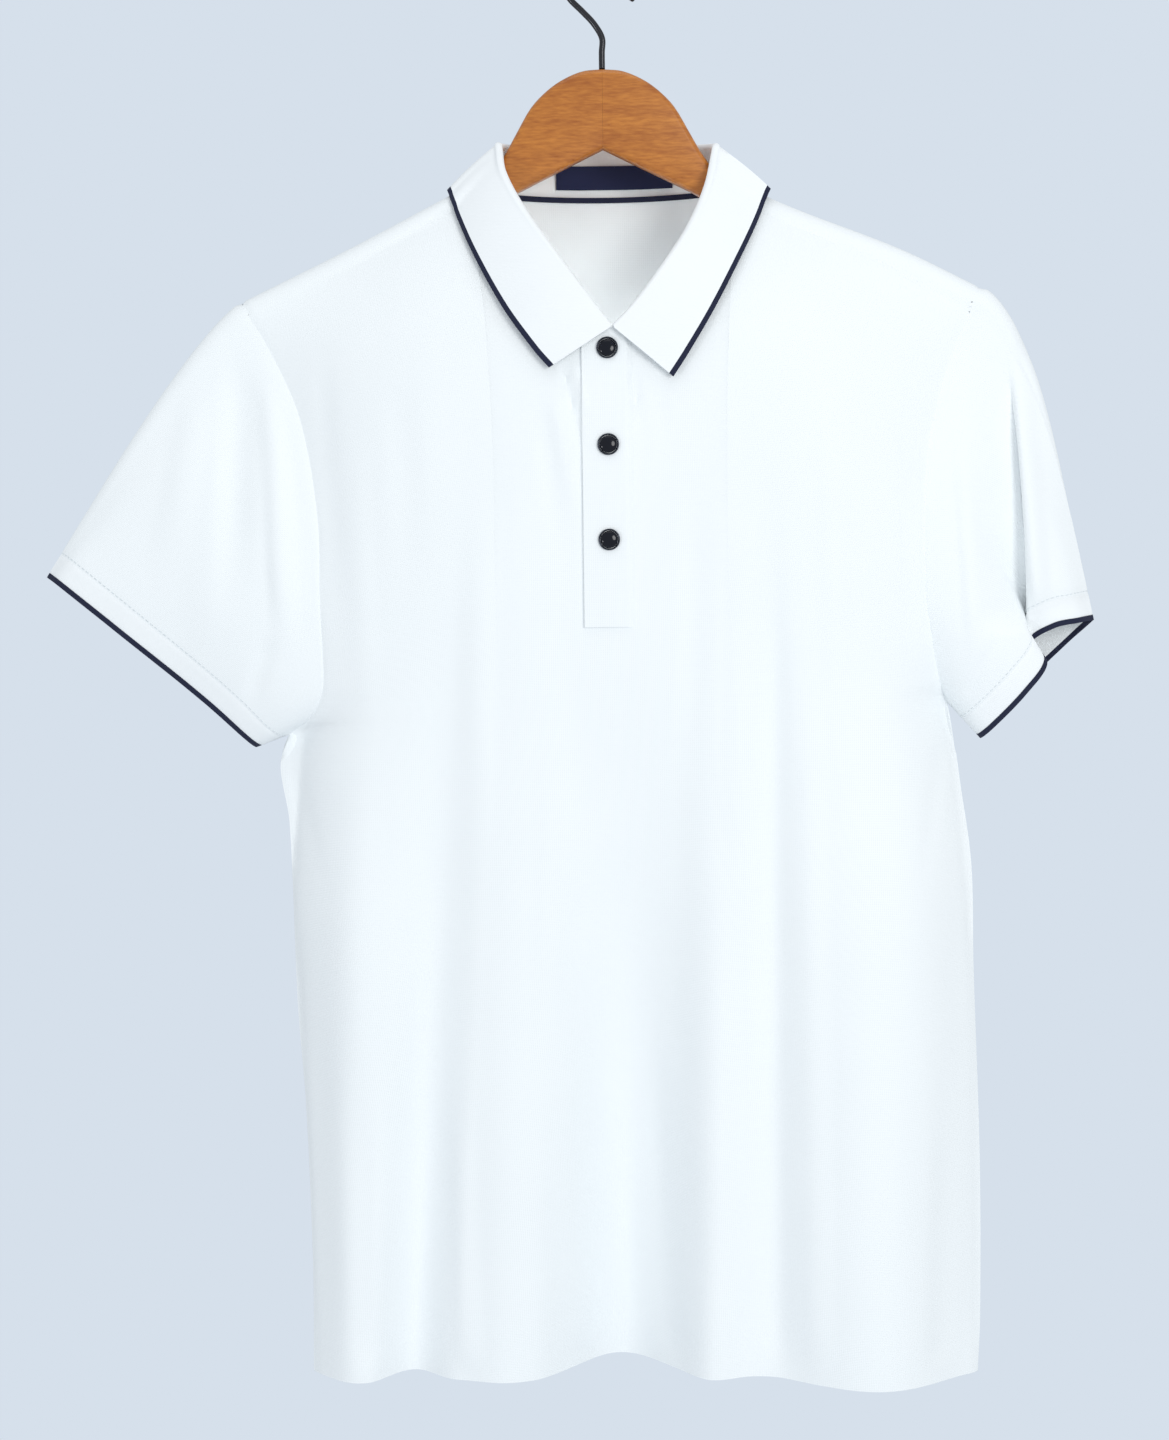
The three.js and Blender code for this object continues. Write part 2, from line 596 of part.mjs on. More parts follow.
// A point of the collar: angle runs round the neckline from the centre front, 180 is the centre back,
// and part 0 is the neck seam, 3 the fold and 6 the outer edge
function collarSection(side, angle) {
  const onFront = angle <= 90;
  const neckAngle = onFront ? 90 - angle : angle - 90;
  const sweep = radians(neckAngle);
  const point = (row) => new THREE.Vector3(row.x, row.y, row.z);
  const neck = necklinePoint(onFront ? FRONT : BACK, side, NECK_HALF * Math.cos(sweep));
  const bow = Math.sin(sweep);
  if (!onFront) {
    const atNeck = side.collar[side.collar.length - 1];
    const round = Math.cos(sweep);
    const edgeY = frontDepthAt(atNeck.edgeX, atNeck.edgeZ) / 4;
    const fold = point({
      x: atNeck.foldX * round,
      y: mix(atNeck.foldY, COLLAR_BACK.foldY, bow),
      z: mix(atNeck.foldZ, COLLAR_BACK.foldZ, bow),
    });
    const edge = point({
      x: atNeck.edgeX * round,
      y: mix(edgeY, COLLAR_BACK.edgeY, bow),
      z: mix(atNeck.edgeZ, COLLAR_BACK.edgeZ, 1 - round),
    });
    return { neck, fold, edge };
  }
  const at = (column) => read(side.collar, 'angle', neckAngle, column);
  const fold = point({ x: at('foldX'), y: at('foldY'), z: at('foldZ') });
  const flat = frontDepthAt(at('edgeX'), at('edgeZ')) - COLLAR_OVER_FRONT * bow ** 0.25;
  const edgeY = neckAngle === 0 ? flat / 4 : flat;
  return { neck, fold, edge: point({ x: at('edgeX'), y: edgeY, z: at('edgeZ') }) };
}

function collarPoint(side, angle, part) {
  const { neck, fold, edge } = collarSection(side, angle);
  const inward = new THREE.Vector3(-fold.x, -fold.y, 0).normalize();
  const rise = new THREE.Vector3(-neck.x / NECK_HALF, 0, 1).normalize();
  const seat = neck.clone().addScaledVector(rise, COLLAR_SEAM_LIFT);
  const foldIn = fold.clone().addScaledVector(inward, FOLD_HALF);
  foldIn.z -= FOLD_HALF;
  const foldOut = fold.clone().addScaledVector(inward, -FOLD_HALF);
  foldOut.z -= FOLD_HALF;
  const stand = seat.clone().lerp(foldIn, 0.5);
  const fall = (share) => foldOut.clone().lerp(edge, share).addScaledVector(inward, -5 * share * (1 - share));
  const along = [seat, stand, foldIn, fold, foldOut, fall(0.5), edge];
  const whole = Math.min(Math.floor(part), along.length - 2);
  if (part > 4) return fall((part - 4) / 2);
  return along[whole].clone().lerp(along[whole + 1], part - whole);
}

// Sections round the collar, from the wearer's right leaf round the back to the left one
function collarStations() {
  const stationsOf = (side, last) => {
    const start = 90 - side.collar[0].angle;
    const angles = COLLAR_ANGLES.filter((angle) => angle > start && angle <= last);
    return [start, ...angles].map((angle) => ({ side, angle }));
  };
  return [...stationsOf(RIGHT, 180), ...stationsOf(LEFT, 179).reverse()];
}

function tippingPart(side, angle) {
  const fall = collarPoint(side, angle, 4).distanceTo(collarPoint(side, angle, 6));
  return 6 - (2 * TIPPING) / fall;
}

function collar() {
  const rows = collarStations().map(({ side, angle }) => {
    const last = tippingPart(side, angle);
    return [...COLLAR_PARTS, last].map((part) => collarPoint(side, angle, part));
  });
  return cloth('collar', rows);
}

function collarTipping() {
  const rows = collarStations().map(({ side, angle }) =>
    [tippingPart(side, angle), 6].map((part) => collarPoint(side, angle, part)));
  return cloth('collar_tipping', rows);
}

// Tape over the back neck seam, inside the body
function neckTape() {
  const rows = [TAPE_RISE, TAPE_RISE - TAPE_HEIGHT].map((rise) => {
    const points = [];
    for (const angle of TAPE_ANGLES) {
      const sweep = radians(angle);
      const x = -NECK_HALF * Math.cos(sweep);
      const bow = Math.sin(sweep);
      const ridgeZ = (x < 0 ? RIGHT : LEFT).ridge[0].z;
      points.push(new THREE.Vector3(
        x * (1 - LAYER / NECK_HALF),
        NECK_BACK_Y * bow - LAYER,
        mix(ridgeZ, NECK_BACK_Z, bow) + rise,
      ));
    }
    return points;
  });
  return cloth('neck_tape', rows, { outward: -1, thick: 1 });
}

// Blank woven label on the inside of the collar's stand
function neckLabel() {
  const rows = [LABEL.high, LABEL.low].map((height) => {
    const points = [];
    for (let step = 0; step <= 6; step += 1) {
      const x = mix(LABEL.fromX, LABEL.toX, step / 6);
      const side = x < 0 ? RIGHT : LEFT;
      const reach = mix(NECK_HALF, Math.abs(side.collar[side.collar.length - 1].foldX), height);
      const angle = 180 - (Math.asin(Math.abs(x) / reach) * 180) / Math.PI;
      const low = collarPoint(side, angle, 0);
      const high = collarPoint(side, angle, 2);
      const point = low.lerp(high, height);
      points.push(new THREE.Vector3(x, point.y - LAYER - 0.5, point.z));
    }
    return points;
  });
  return cloth('neck_label', rows, { outward: -1, thick: 1 });
}

// Snap buttons: a domed cap inside a thin rim
function snapCap(radius) {
  const profile = [new THREE.Vector2(0, 0), new THREE.Vector2(radius, 0)];
  for (const angle of [0, 30, 60, 90]) {
    const sweep = radians(angle);
    const height = mix(SNAP_DOME_START, SNAP_RISE, Math.sin(sweep));
    profile.push(new THREE.Vector2(radius * Math.cos(sweep), height));
  }
  profile[profile.length - 1].x = 0;
  return new THREE.LatheGeometry(profile, SNAP_SIDES);
}

function snapRim(inner, outer) {
  const profile = [
    new THREE.Vector2(inner, 0),
    new THREE.Vector2(outer, 0),
    new THREE.Vector2(outer, SNAP_RIM_HEIGHTS.outer),
    new THREE.Vector2(inner, SNAP_RIM_HEIGHTS.inner),
    new THREE.Vector2(inner, 0),
  ];
  return new THREE.LatheGeometry(profile, SNAP_SIDES);
}

function snaps(group) {
  SNAP_HEIGHTS.forEach((z, index) => {
    const level = (NECK_FRONT_Z - z) / (NECK_FRONT_Z - ARMPIT_MIDDLE_Z);
    const here = middlePoint(FRONT, SNAP_X, level);
    const above = middlePoint(FRONT, SNAP_X, level - 0.02);
    const seat = new THREE.Group();
    seat.position.copy(here);
    seat.position.y -= LAYER + CLOTH / 2 + 0.4;
    seat.rotation.x = Math.PI - Math.atan((above.y - here.y) / (above.z - here.z));
    const cap = snapCap(SNAP_RADIUS - SNAP_RIM - SEAM_GAP);
    const rim = snapRim(SNAP_RADIUS - SNAP_RIM, SNAP_RADIUS);
    seat.add(meshOf(`snap_cap_${index + 1}`, cap, MATERIALS.snap));
    seat.add(meshOf(`snap_ring_${index + 1}`, rim, MATERIALS.snapRim));
    group.add(seat);
  });
}

// An arm of the hanger, one half up to the mitre in the middle
function hangerArm(name, side) {
  const ridgeTop = (x) => read(side.ridge, 'x', side.sign * x, 'z') - ARM_FROM_RIDGE;
  const top = ARM_TOP.map(({ x, z }) => new THREE.Vector2(x + (x === 0 ? SEAM_GAP / 2 : 0), z));
  for (const x of [...ARM_TOP_REST, ARM_REACH - 8]) top.push(new THREE.Vector2(x, ridgeTop(x)));
  const tipZ = ridgeTop(ARM_REACH);
  const end = [
    new THREE.Vector2(ARM_REACH, tipZ - 4),
    new THREE.Vector2(ARM_REACH + 1, tipZ - ARM_DEPTH / 2),
    new THREE.Vector2(ARM_REACH - 4, tipZ - ARM_DEPTH * 0.8),
  ];
  const underXs = [ARM_REACH - 14, ...ARM_UNDER_REST];
  const under = underXs.map((x) => new THREE.Vector2(x, ridgeTop(x) - ARM_DEPTH));
  const notch = [...ARM_UNDER].reverse()
    .map(({ x, z }) => new THREE.Vector2(x + (x === 0 ? SEAM_GAP / 2 : 0), z));
  const outline = [...top, ...end, ...under, ...notch].map((point) => point.setX(point.x * side.sign));
  const geometry = new THREE.ExtrudeGeometry(new THREE.Shape(outline), {
    depth: ARM_THICKNESS - 2 * ARM_ROUNDING,
    bevelEnabled: true,
    bevelThickness: ARM_ROUNDING,
    bevelSize: ARM_ROUNDING,
    bevelOffset: -ARM_ROUNDING,
    bevelSegments: 3,
  });
  geometry.rotateX(Math.PI / 2);
  geometry.translate(0, ARM_THICKNESS / 2 - ARM_ROUNDING, 0);
  return meshOf(name, geometry, MATERIALS.wood);
}

// The wire hook: a stem, an offset bend and the open loop
function hangerHook() {
  const centreZ = HOOK_WIRE - HOOK_RADIUS;
  const points = [new THREE.Vector3(0, 0, ARM_TOP[0].z + SEAM_GAP)];
  for (const { x, z } of HOOK_STEM) points.push(new THREE.Vector3(x, 0, z));
  for (const angle of HOOK_ANGLES) {
    const sweep = radians(angle);
    const rise = HOOK_RADIUS * Math.sin(sweep);
    points.push(new THREE.Vector3(HOOK_RADIUS * Math.cos(sweep), 0, centreZ + rise));
  }
  const round = new THREE.EllipseCurve(0, 0, HOOK_WIRE, HOOK_WIRE);
  const section = new THREE.Shape(round.getPoints(8).slice(0, 8));
  const path = new THREE.CatmullRomCurve3(points);
  const geometry = new THREE.ExtrudeGeometry(section, { steps: 44, extrudePath: path });
  return meshOf('hanger_hook', geometry, MATERIALS.wire);
}

function fabric(color) {
  return new THREE.MeshStandardMaterial({ color, roughness: 0.9, metalness: 0, side: THREE.FrontSide });
}

const MATERIALS = {
  pique: fabric('#eff4f6'),
  rib: fabric('#f1f5f7'),
  navy: fabric('#141a3c'),
  snap: new THREE.MeshStandardMaterial({ color: '#0c0f16', roughness: 0.2, metalness: 0.1 }),
  snapRim: new THREE.MeshStandardMaterial({ color: '#1c2028', roughness: 0.25, metalness: 0.9 }),
  wood: new THREE.MeshStandardMaterial({ color: '#c3762a', roughness: 0.35, metalness: 0 }),
  wire: new THREE.MeshStandardMaterial({ color: '#17181c', roughness: 0.35, metalness: 0.9 }),
};

function buildShirt() {
  const shirt = new THREE.Group();
  const pieces = [
    [frontPanel(), MATERIALS.pique],
    [backPanel(), MATERIALS.pique],
    [placketStrip('placket_under', 0), MATERIALS.pique],
    [placketStrip('placket_top', LAYER), MATERIALS.pique],
    [collar(), MATERIALS.rib],
    [collarTipping(), MATERIALS.navy],
    [neckTape(), MATERIALS.navy],
    [neckLabel(), MATERIALS.navy],
  ];
  for (const [wearer, side] of [['right', RIGHT], ['left', LEFT]]) {
    pieces.push([sleeveBand(`${wearer}_sleeve`, side, null, RIB_DEPTH, SLEEVE_STEPS), MATERIALS.pique]);
    pieces.push([sleeveBand(`${wearer}_cuff`, side, RIB_DEPTH, TIPPING, [0, 1]), MATERIALS.rib]);
    pieces.push([sleeveBand(`${wearer}_cuff_tipping`, side, TIPPING, 0, [0, 1]), MATERIALS.navy]);
  }
  for (const [piece, material] of pieces) shirt.add(clothMesh(piece, material));
  snaps(shirt);
  return shirt;
}

const polo = new THREE.Group();
polo.add(buildShirt());
polo.add(hangerArm('hanger_arm_right', RIGHT));
polo.add(hangerArm('hanger_arm_left', LEFT));
polo.add(hangerHook());

export default polo;
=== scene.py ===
"""Short-sleeved knitted polo shirt, hung on a wooden hanger with a wire hook.

The front faces -Y, the wearer's right is -X, and the origin is the inner top of the hook.
Sizes are in millimetres; each piece becomes metres as its mesh is made.
"""
import math
from collections import namedtuple
from dataclasses import dataclass
from functools import lru_cache
from itertools import accumulate

import bmesh
import bpy
from mathutils import Matrix, Vector, noise


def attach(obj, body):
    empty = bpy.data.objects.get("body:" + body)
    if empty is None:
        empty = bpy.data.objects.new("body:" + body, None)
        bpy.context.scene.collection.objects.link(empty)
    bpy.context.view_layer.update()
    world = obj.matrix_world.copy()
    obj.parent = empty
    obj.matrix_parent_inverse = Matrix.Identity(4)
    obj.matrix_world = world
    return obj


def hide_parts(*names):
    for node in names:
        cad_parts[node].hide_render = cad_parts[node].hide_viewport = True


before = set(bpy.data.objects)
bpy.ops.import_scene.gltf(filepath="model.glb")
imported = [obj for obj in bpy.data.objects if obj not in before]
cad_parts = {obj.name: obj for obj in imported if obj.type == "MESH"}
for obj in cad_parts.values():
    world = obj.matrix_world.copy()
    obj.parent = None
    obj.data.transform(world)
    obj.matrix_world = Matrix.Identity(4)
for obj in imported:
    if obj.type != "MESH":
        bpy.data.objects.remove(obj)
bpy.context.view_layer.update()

# Cloth walls: an edge is drawn sharp from an angle, and a normal is taken over a run of cloth
CLOTH = 1.5
LAYER = 1.8
SHARP_EDGE = math.radians(50)
NORMAL_RUN = 1.3
SEAM_SINKS = 0.3

# Body sizes
PLACKET_HALF = 14
PLACKET_BOTTOM = -399
PLACKET_SINKS = 1.4
PLACKET_SINKS_OVER = 3.5
NECK_HALF = 80
NECK_FRONT_Z = -229
NECK_FRONT_Y = -46
NECK_BACK_Z = -148
NECK_BACK_Y = 32
RIDGE_RADIUS = 9.5
DRAPE_LENGTH = 45
NECK_HOLD = 26
NECK_WRAP = 1.2
SEAM_HOLDS_FROM = 0.66
ARMPIT_MIDDLE_Z = -450
HEM_MIDDLE_Z = -843

# Sleeves, cuffs and collar
SLEEVE_PUFF = 7
HEAD_RISE = 0.4
RIB_DEPTH = 16.2
TIPPING = 3.2
COLLAR_OVER_FRONT = 4.6
COLLAR_SEAM_LIFT = 1.9
COLLAR_HOLLOW = 5
FOLD_HALF = 1.8
COLLAR_BACK = {"fold_y": 35, "fold_z": -116, "edge_y": 46, "edge_z": -163}

# Neck tape and label
TAPE_HEIGHT = 3.2
TAPE_RISE = 2
TAPE_ANGLES = (20, 160)
LABEL_FROM_X = -27.8
LABEL_TO_X = 41.4
LABEL_LOW = 0.16
LABEL_HIGH = 0.66
LABEL_GAP = 0.5

# Snap buttons
SNAP_X = 0.7
SNAP_HEIGHTS = (-240.6, -295.1, -349)
SNAP_RADIUS = 6.2
SNAP_RIM = 1
SNAP_RISE = 2.4
SNAP_GAP = 0.4
SNAP_EASING = 0.3
SNAP_DOME_START = 0.8
SNAP_RIM_HEIGHTS = (0.55, 1.3)

# Hanger
ARM_THICKNESS = 12
ARM_ROUNDING = 3.5
ARM_DEPTH = 19
ARM_REACH = 205
ARM_HEAD = 79
ARM_UNDER_SHOULDER = 96
ARM_TIP = 7
ARM_FROM_RIDGE = CLOTH / 2 + 1.9
PAST_MITRE = 8
MITRE_GAP = 0.06
MITRE_EASING = 0.5
HOOK_WIRE = 1.8
HOOK_RADIUS = 23
HOOK_STEM = ((0, -75.7), (0, -66), (0.2, -57.7), (-4.5, -49.5), (-11, -42.5))
HOOK_ANGLES = range(218, -43, -20)
HOOK_TIP = 0.72

# Camera: the eye's place, its tilt down and its roll, and the lens on a 36 mm sensor
EYE = (-14.7, -1487, -324)
TILT_DOWN = 5.1
ROLL = 0.68
LENS = 62.5

# Sewing: how far in from their edges the lines of stitches lie, and a stitch's spacing and size
HEM_STITCHES = (18, 20.4)
SEAM_STITCH = 1.6
LABEL_STITCH = 1.2
PLACKET_SEWN = 5
PLACKET_BOX = 11
THREAD_ABOVE = 0.06
BODY_STITCH = {"pitch": 3.3, "size": (2.5, 0.5, 0.36)}
FINE_STITCH = {"pitch": 1.7, "size": (1.3, 0.4, 0.3)}

# Studio floor in metres, small enough to stay below the camera's view
FLOOR_RADIUS = 1.1
FLOOR_Z = -1.35


def rows(columns, *lines):
    """A table: each line is a row, read by the names of its columns."""
    names = columns.split()
    return [dict(zip(names, line)) for line in lines]


# Edges of the body: the armhole down to the armpit, then the side seam down to the hem
EDGE = "z front_x front_y back_x back_y"
RIGHT_EDGE = rows(
    EDGE,
    (-208.5, -213, 0, -213, 0),
    (-236, -196.5, -9, -200, 9),
    (-277, -178.5, -19, -188, 19),
    (-335, -168.5, -27, -181, 26),
    (-382, -168, -30, -179, 28),
    (-430, -167, -29, -181, 25),
    (-443, -170.5, -25, -184, 19),
    (-453, -178, -17, -187, 9),
    (-462, -190, -4, -190, -4),
    (-480, -195.5, -5, -195.5, -5),
    (-515, -190.5, -8, -190.5, -8),
    (-624, -187.5, -12, -187.5, -12),
    (-686, -183.5, -15, -183.5, -15),
    (-779, -181, -19, -181, -19),
    (-846, -181.5, -22, -181.5, -22),
)
LEFT_EDGE = rows(
    EDGE,
    (-204.5, 220, 0, 220, 0),
    (-221, 213, -11, 214, 9),
    (-239, 204, -14, 207, 14),
    (-277, 191.5, -22, 199, 21),
    (-312, 185.5, -26, 195, 25),
    (-381, 185, -28, 193, 26),
    (-411, 190, -24, 195, 20),
    (-435, 195.5, -15, 197.5, 7),
    (-446, 200, -7, 200, -7),
    (-476, 205, -8, 205, -8),
    (-495, 207.5, -9, 207.5, -9),
    (-544, 214, -11, 214, -11),
    (-605, 215, -14, 215, -14),
    (-721, 218, -20, 218, -20),
    (-815, 217.5, -26, 217.5, -26),
    (-848, 215.5, -30, 215.5, -30),
)

# Ridge of each shoulder over the hanger, and how far down its front the shoulder seam lies
RIGHT_RIDGE = rows("x z seam", (-80, -143, 0.6), (-149, -178, 0.8), (-213, -208.5, 1))
LEFT_RIDGE = rows("x z seam", (80, -144, 5), (115, -159, 8.6), (174, -182, 14), (220, -204.5, 17))

# Depth of the body along its middle line
MIDDLE_DEPTH = rows(
    "z front back", (-143, -44, 33), (-300, -51, 38), (-500, -49, 36), (-843, -47, 31)
)

# Hanging folds: a ridge stands out, a trough sinks in, and each grows from its start to the hem
FOLD = "top_x hem_x half out start_z"
FRONT_FOLDS = rows(
    FOLD,
    (-135, -158, 26, 7, -220),
    (-88, -121, 28, -20, -330),
    (-44, -66, 34, 8, -260),
    (18, 3, 54, -43, -390),
    (62, 58, 24, 7, -270),
    (150, 152, 70, 27, -270),
)
BACK_FOLDS = rows(
    FOLD,
    (-120, -132, 34, 12, -300),
    (-62, -70, 34, -10, -360),
    (0, 4, 42, 12, -280),
    (70, 76, 38, -12, -380),
    (135, 146, 36, 12, -320),
)

# Edge loops of the sleeves, from the upper fold round the front to the underarm and back
RIGHT_CUFF = rows(
    "turn x y z",
    (0, -332.4, 0, -368.2),
    (0.08, -322, -10, -374.5),
    (0.2, -285, -15, -404),
    (0.34, -240, -15, -441.5),
    (0.45, -215, -12, -465),
    (0.5, -210.5, -5, -469.5),
    (0.55, -215, 3, -465),
    (0.66, -240, 9, -441.5),
    (0.8, -285, 11, -404),
    (0.92, -322, 8, -374.5),
    (1, -332.4, 0, -368.2),
)
LEFT_CUFF = rows(
    "turn x y z",
    (0, 288.6, 0, -400.6),
    (0.06, 278, -12, -401.5),
    (0.12, 263, -16, -404),
    (0.19, 250, -12, -413),
    (0.26, 257.5, -19, -425),
    (0.34, 245, -24, -442),
    (0.44, 226, -18, -463),
    (0.5, 220.8, -8, -469),
    (0.58, 229, 4, -460),
    (0.72, 252, 13, -438),
    (0.88, 278, 13, -413),
    (1, 288.6, 0, -400.6),
)

# Collar sections, from the centre front to the neck point
COLLAR = "angle fold_x fold_y fold_z edge_x edge_z"
RIGHT_COLLAR = rows(
    COLLAR,
    (86, 2.4, -49.5, -226.4, -32.6, -250.4),
    (75, -8.6, -47.5, -211.5, -41.5, -240),
    (58, -26.5, -42, -187, -58, -216.5),
    (38, -46, -31, -159, -74, -187),
    (18, -58, -18, -136, -84.5, -163),
    (0, -61, -4, -118, -91, -144.5),
)
LEFT_COLLAR = rows(
    COLLAR,
    (84, 4.6, -49.5, -226.6, 38.2, -256.3),
    (73, 14.5, -47.5, -216.5, 47, -243),
    (56, 31.5, -42, -195, 61.5, -219),
    (37, 48.5, -31, -170, 76.5, -191),
    (18, 60, -18, -145, 88, -168),
    (0, 66, -4, -120, 97, -147),
)

# Creases: a line from one place to another, how wide it is on its right and left sides, how far it
# stands out, and the shares of its length over which it fades in at the start and out at the end
CREASE = "from_x from_z to_x to_z right left out fade_in fade_out"
FRONT_CREASES = rows(
    CREASE,
    (-25, -246, -13, -302, 5, 3.5, -2.6, 0.2, 0.6),
    (-18, -246, -11, -280, 3, 4, 1.4, 0.2, 0.5),
    (-31, -256, -16, -345, 8, 5, 1.8, 0.3, 0.5),
    (-82, -180, -50, -240, 12, 14, -2.6, 0.3, 0.4),
    (-40, -262, -24, -380, 9, 8, -1.0, 0.3, 0.6),
    (14, -250, 20, -292, 4, 4, -1.8, 0.2, 0.6),
    (30, -258, 33, -300, 5, 5, -0.8, 0.3, 0.6),
    (-166, -226, -161, -400, 10, 12, -3.6, 0.3, 0.4),
    (-148, -262, -141, -470, 12, 13, 1.8, 0.4, 0.5),
    (-120, -240, -112, -380, 14, 14, -1.2, 0.4, 0.5),
    (-70, -300, -82, -560, 16, 14, 2.2, 0.4, 0.5),
    (-30, -420, -38, -700, 15, 16, 1.6, 0.4, 0.5),
    (52, -290, 46, -520, 13, 15, -1.8, 0.4, 0.5),
    (74, -330, 74, -640, 12, 12, 1.6, 0.4, 0.5),
    (94, -290, 96, -860, 18, 12, -4.2, 0.3, 0.1),
    (128, -260, 132, -480, 13, 14, 1.8, 0.3, 0.5),
    (172, -300, 176, -430, 9, 10, -2.2, 0.4, 0.4),
    (196, -470, 180, -560, 10, 9, -2.0, 0.1, 0.7),
    (-186, -480, -168, -560, 10, 9, -1.8, 0.1, 0.7),
    (-150, -620, -148, -843, 13, 12, -2.0, 0.5, 0.1),
    (-92, -640, -88, -843, 10, 13, 1.8, 0.5, 0.1),
    (-30, -600, -20, -843, 14, 12, 1.6, 0.5, 0.1),
    (24, -610, 34, -843, 12, 10, -2.0, 0.5, 0.1),
    (112, -330, 116, -860, 11, 15, 2.4, 0.4, 0.1),
    (196, -640, 190, -843, 12, 14, -2.2, 0.5, 0.1),
)
BACK_CREASES = rows(
    CREASE,
    (-168, -240, -158, -400, 13, 15, -3.0, 0.3, 0.4),
    (-140, -260, -132, -460, 14, 14, 1.8, 0.4, 0.5),
    (-96, -220, -90, -420, 15, 15, -1.6, 0.4, 0.5),
    (-40, -230, -34, -520, 16, 14, 1.8, 0.4, 0.5),
    (30, -240, 36, -480, 14, 16, -1.6, 0.4, 0.5),
    (92, -220, 88, -440, 15, 14, 1.6, 0.4, 0.5),
    (136, -250, 130, -460, 13, 14, -1.8, 0.4, 0.5),
    (180, -240, 170, -400, 12, 13, -2.6, 0.3, 0.4),
    (196, -480, 176, -590, 10, 9, -2.2, 0.1, 0.7),
    (-186, -480, -166, -580, 10, 9, -2.0, 0.1, 0.7),
    (-102, -600, -108, -843, 12, 12, 2.0, 0.5, 0.1),
    (-26, -580, -22, -843, 14, 12, -2.0, 0.5, 0.1),
    (46, -620, 44, -843, 12, 13, 1.8, 0.5, 0.1),
    (108, -600, 112, -843, 13, 12, -1.8, 0.5, 0.1),
    (186, -620, 190, -843, 12, 13, 2.0, 0.5, 0.1),
)
RIGHT_SLEEVE_CREASES = rows(
    CREASE,
    (-214, -226, -221, -400, 14, 18, -4.6, 0.25, 0.5),
    (-196, -236, -188, -420, 10, 12, 3.6, 0.2, 0.3),
    (-236, -240, -262, -380, 14, 16, 2.2, 0.3, 0.5),
    (-196, -400, -214, -448, 8, 10, -1.8, 0.3, 0.4),
)
LEFT_SLEEVE_CREASES = rows(
    CREASE,
    (234, -226, 243.5, -408, 30, 4.5, -15, 0.4, 0.1),
    (242, -216, 253, -404, 6, 10, 4.5, 0.3, 0.15),
    (206, -280, 214, -430, 8, 9, 1.8, 0.3, 0.3),
    (208, -446, 224, -408, 6, 6, -1.4, 0.2, 0.5),
)


@dataclass(frozen=True, eq=False)
class Side:
    """One half of the shirt, from the middle line out to the wearer's right or left."""

    name: str
    sign: int
    edge: list
    ridge: list
    armpit_z: float
    hem_z: float
    cuff: list
    collar: list
    head_bulge: float
    creases: list
    lean: float


@dataclass(frozen=True, eq=False)
class Face:
    """The front or the back: its direction, its columns in the tables, its folds and creases."""

    sign: int
    x: str
    y: str
    depth: str
    folds: list
    creases: list


RIGHT = Side(
    "right", -1, RIGHT_EDGE, RIGHT_RIDGE, -462, -846, RIGHT_CUFF, RIGHT_COLLAR, 7, RIGHT_SLEEVE_CREASES, 0
)
LEFT = Side(
    "left", 1, LEFT_EDGE, LEFT_RIDGE, -446, -848, LEFT_CUFF, LEFT_COLLAR, 16, LEFT_SLEEVE_CREASES, 0.45
)
FRONT = Face(-1, "front_x", "front_y", "front", FRONT_FOLDS, FRONT_CREASES)
BACK = Face(1, "back_x", "back_y", "back", BACK_FOLDS, BACK_CREASES)


def mix(start, end, share):
    return start + (end - start) * share


def clamp(value, low=0.0, high=1.0):
    return max(low, min(high, value))


def ease(value, low=0.0, high=1.0):
    """Smooth step from 0 at low to 1 at high."""
    share = clamp((value - low) / (high - low))
    return share * share * (3 - 2 * share)


def read(table, key, at, column):
    """One column of a table at a place along another, on a smooth curve through its rows."""
    last = len(table) - 1
    way = 1 if table[last][key] > table[0][key] else -1
    if (at - table[0][key]) * way <= 0:
        return table[0][column]
    if (at - table[last][key]) * way >= 0:
        return table[last][column]
    row = 0
    while (at - table[row + 1][key]) * way > 0:
        row += 1

    def slope(first, second):
        rise = table[second][column] - table[first][column]
        return rise / (table[second][key] - table[first][key])

    span = table[row + 1][key] - table[row][key]
    share = (at - table[row][key]) / span
    leave = slope(max(row - 1, 0), row + 1) * span
    arrive = slope(row, min(row + 2, last)) * span
    bend = share * (1 - share) * (leave * (1 - share) - arrive * share)
    return mix(table[row][column], table[row + 1][column], ease(share)) + bend


def folds_at(folds, x, z):
    """How far the hanging folds move the cloth outwards."""
    out = 0.0
    for fold in folds:
        fallen = clamp((fold["start_z"] - z) / (fold["start_z"] - HEM_MIDDLE_Z))
        off = abs(x - mix(fold["top_x"], fold["hem_x"], fallen)) / fold["half"]
        if off < 1:
            out += fold["out"] * ease(fallen) * (0.5 + 0.5 * math.cos(off * math.pi))
    return out


def creases_at(creases, x, z):
    """How far the listed creases move the cloth outwards."""
    out = 0.0
    for crease in creases:
        run_x = crease["to_x"] - crease["from_x"]
        run_z = crease["to_z"] - crease["from_z"]
        length = math.hypot(run_x, run_z)
        off_x = x - crease["from_x"]
        off_z = z - crease["from_z"]
        along = (off_x * run_x + off_z * run_z) / (length * length)
        if not 0 < along < 1:
            continue
        across = (off_z * run_x - off_x * run_z) / length
        half = crease["left"] if across > 0 else crease["right"]
        if abs(across) >= half:
            continue
        fade = ease(along / crease["fade_in"]) * ease((1 - along) / crease["fade_out"])
        out += crease["out"] * fade * (0.5 + 0.5 * math.cos(across / half * math.pi))
    return out


def slack(x, z, seed):
    """Slow unevenness of hanging cloth, longer down the cloth than across it."""
    wide = noise.noise(Vector((x / 34, z / 130, seed)))
    small = noise.noise(Vector((x / 15, z / 48, seed + 7)))
    return 0.9 * wide + 0.25 * small


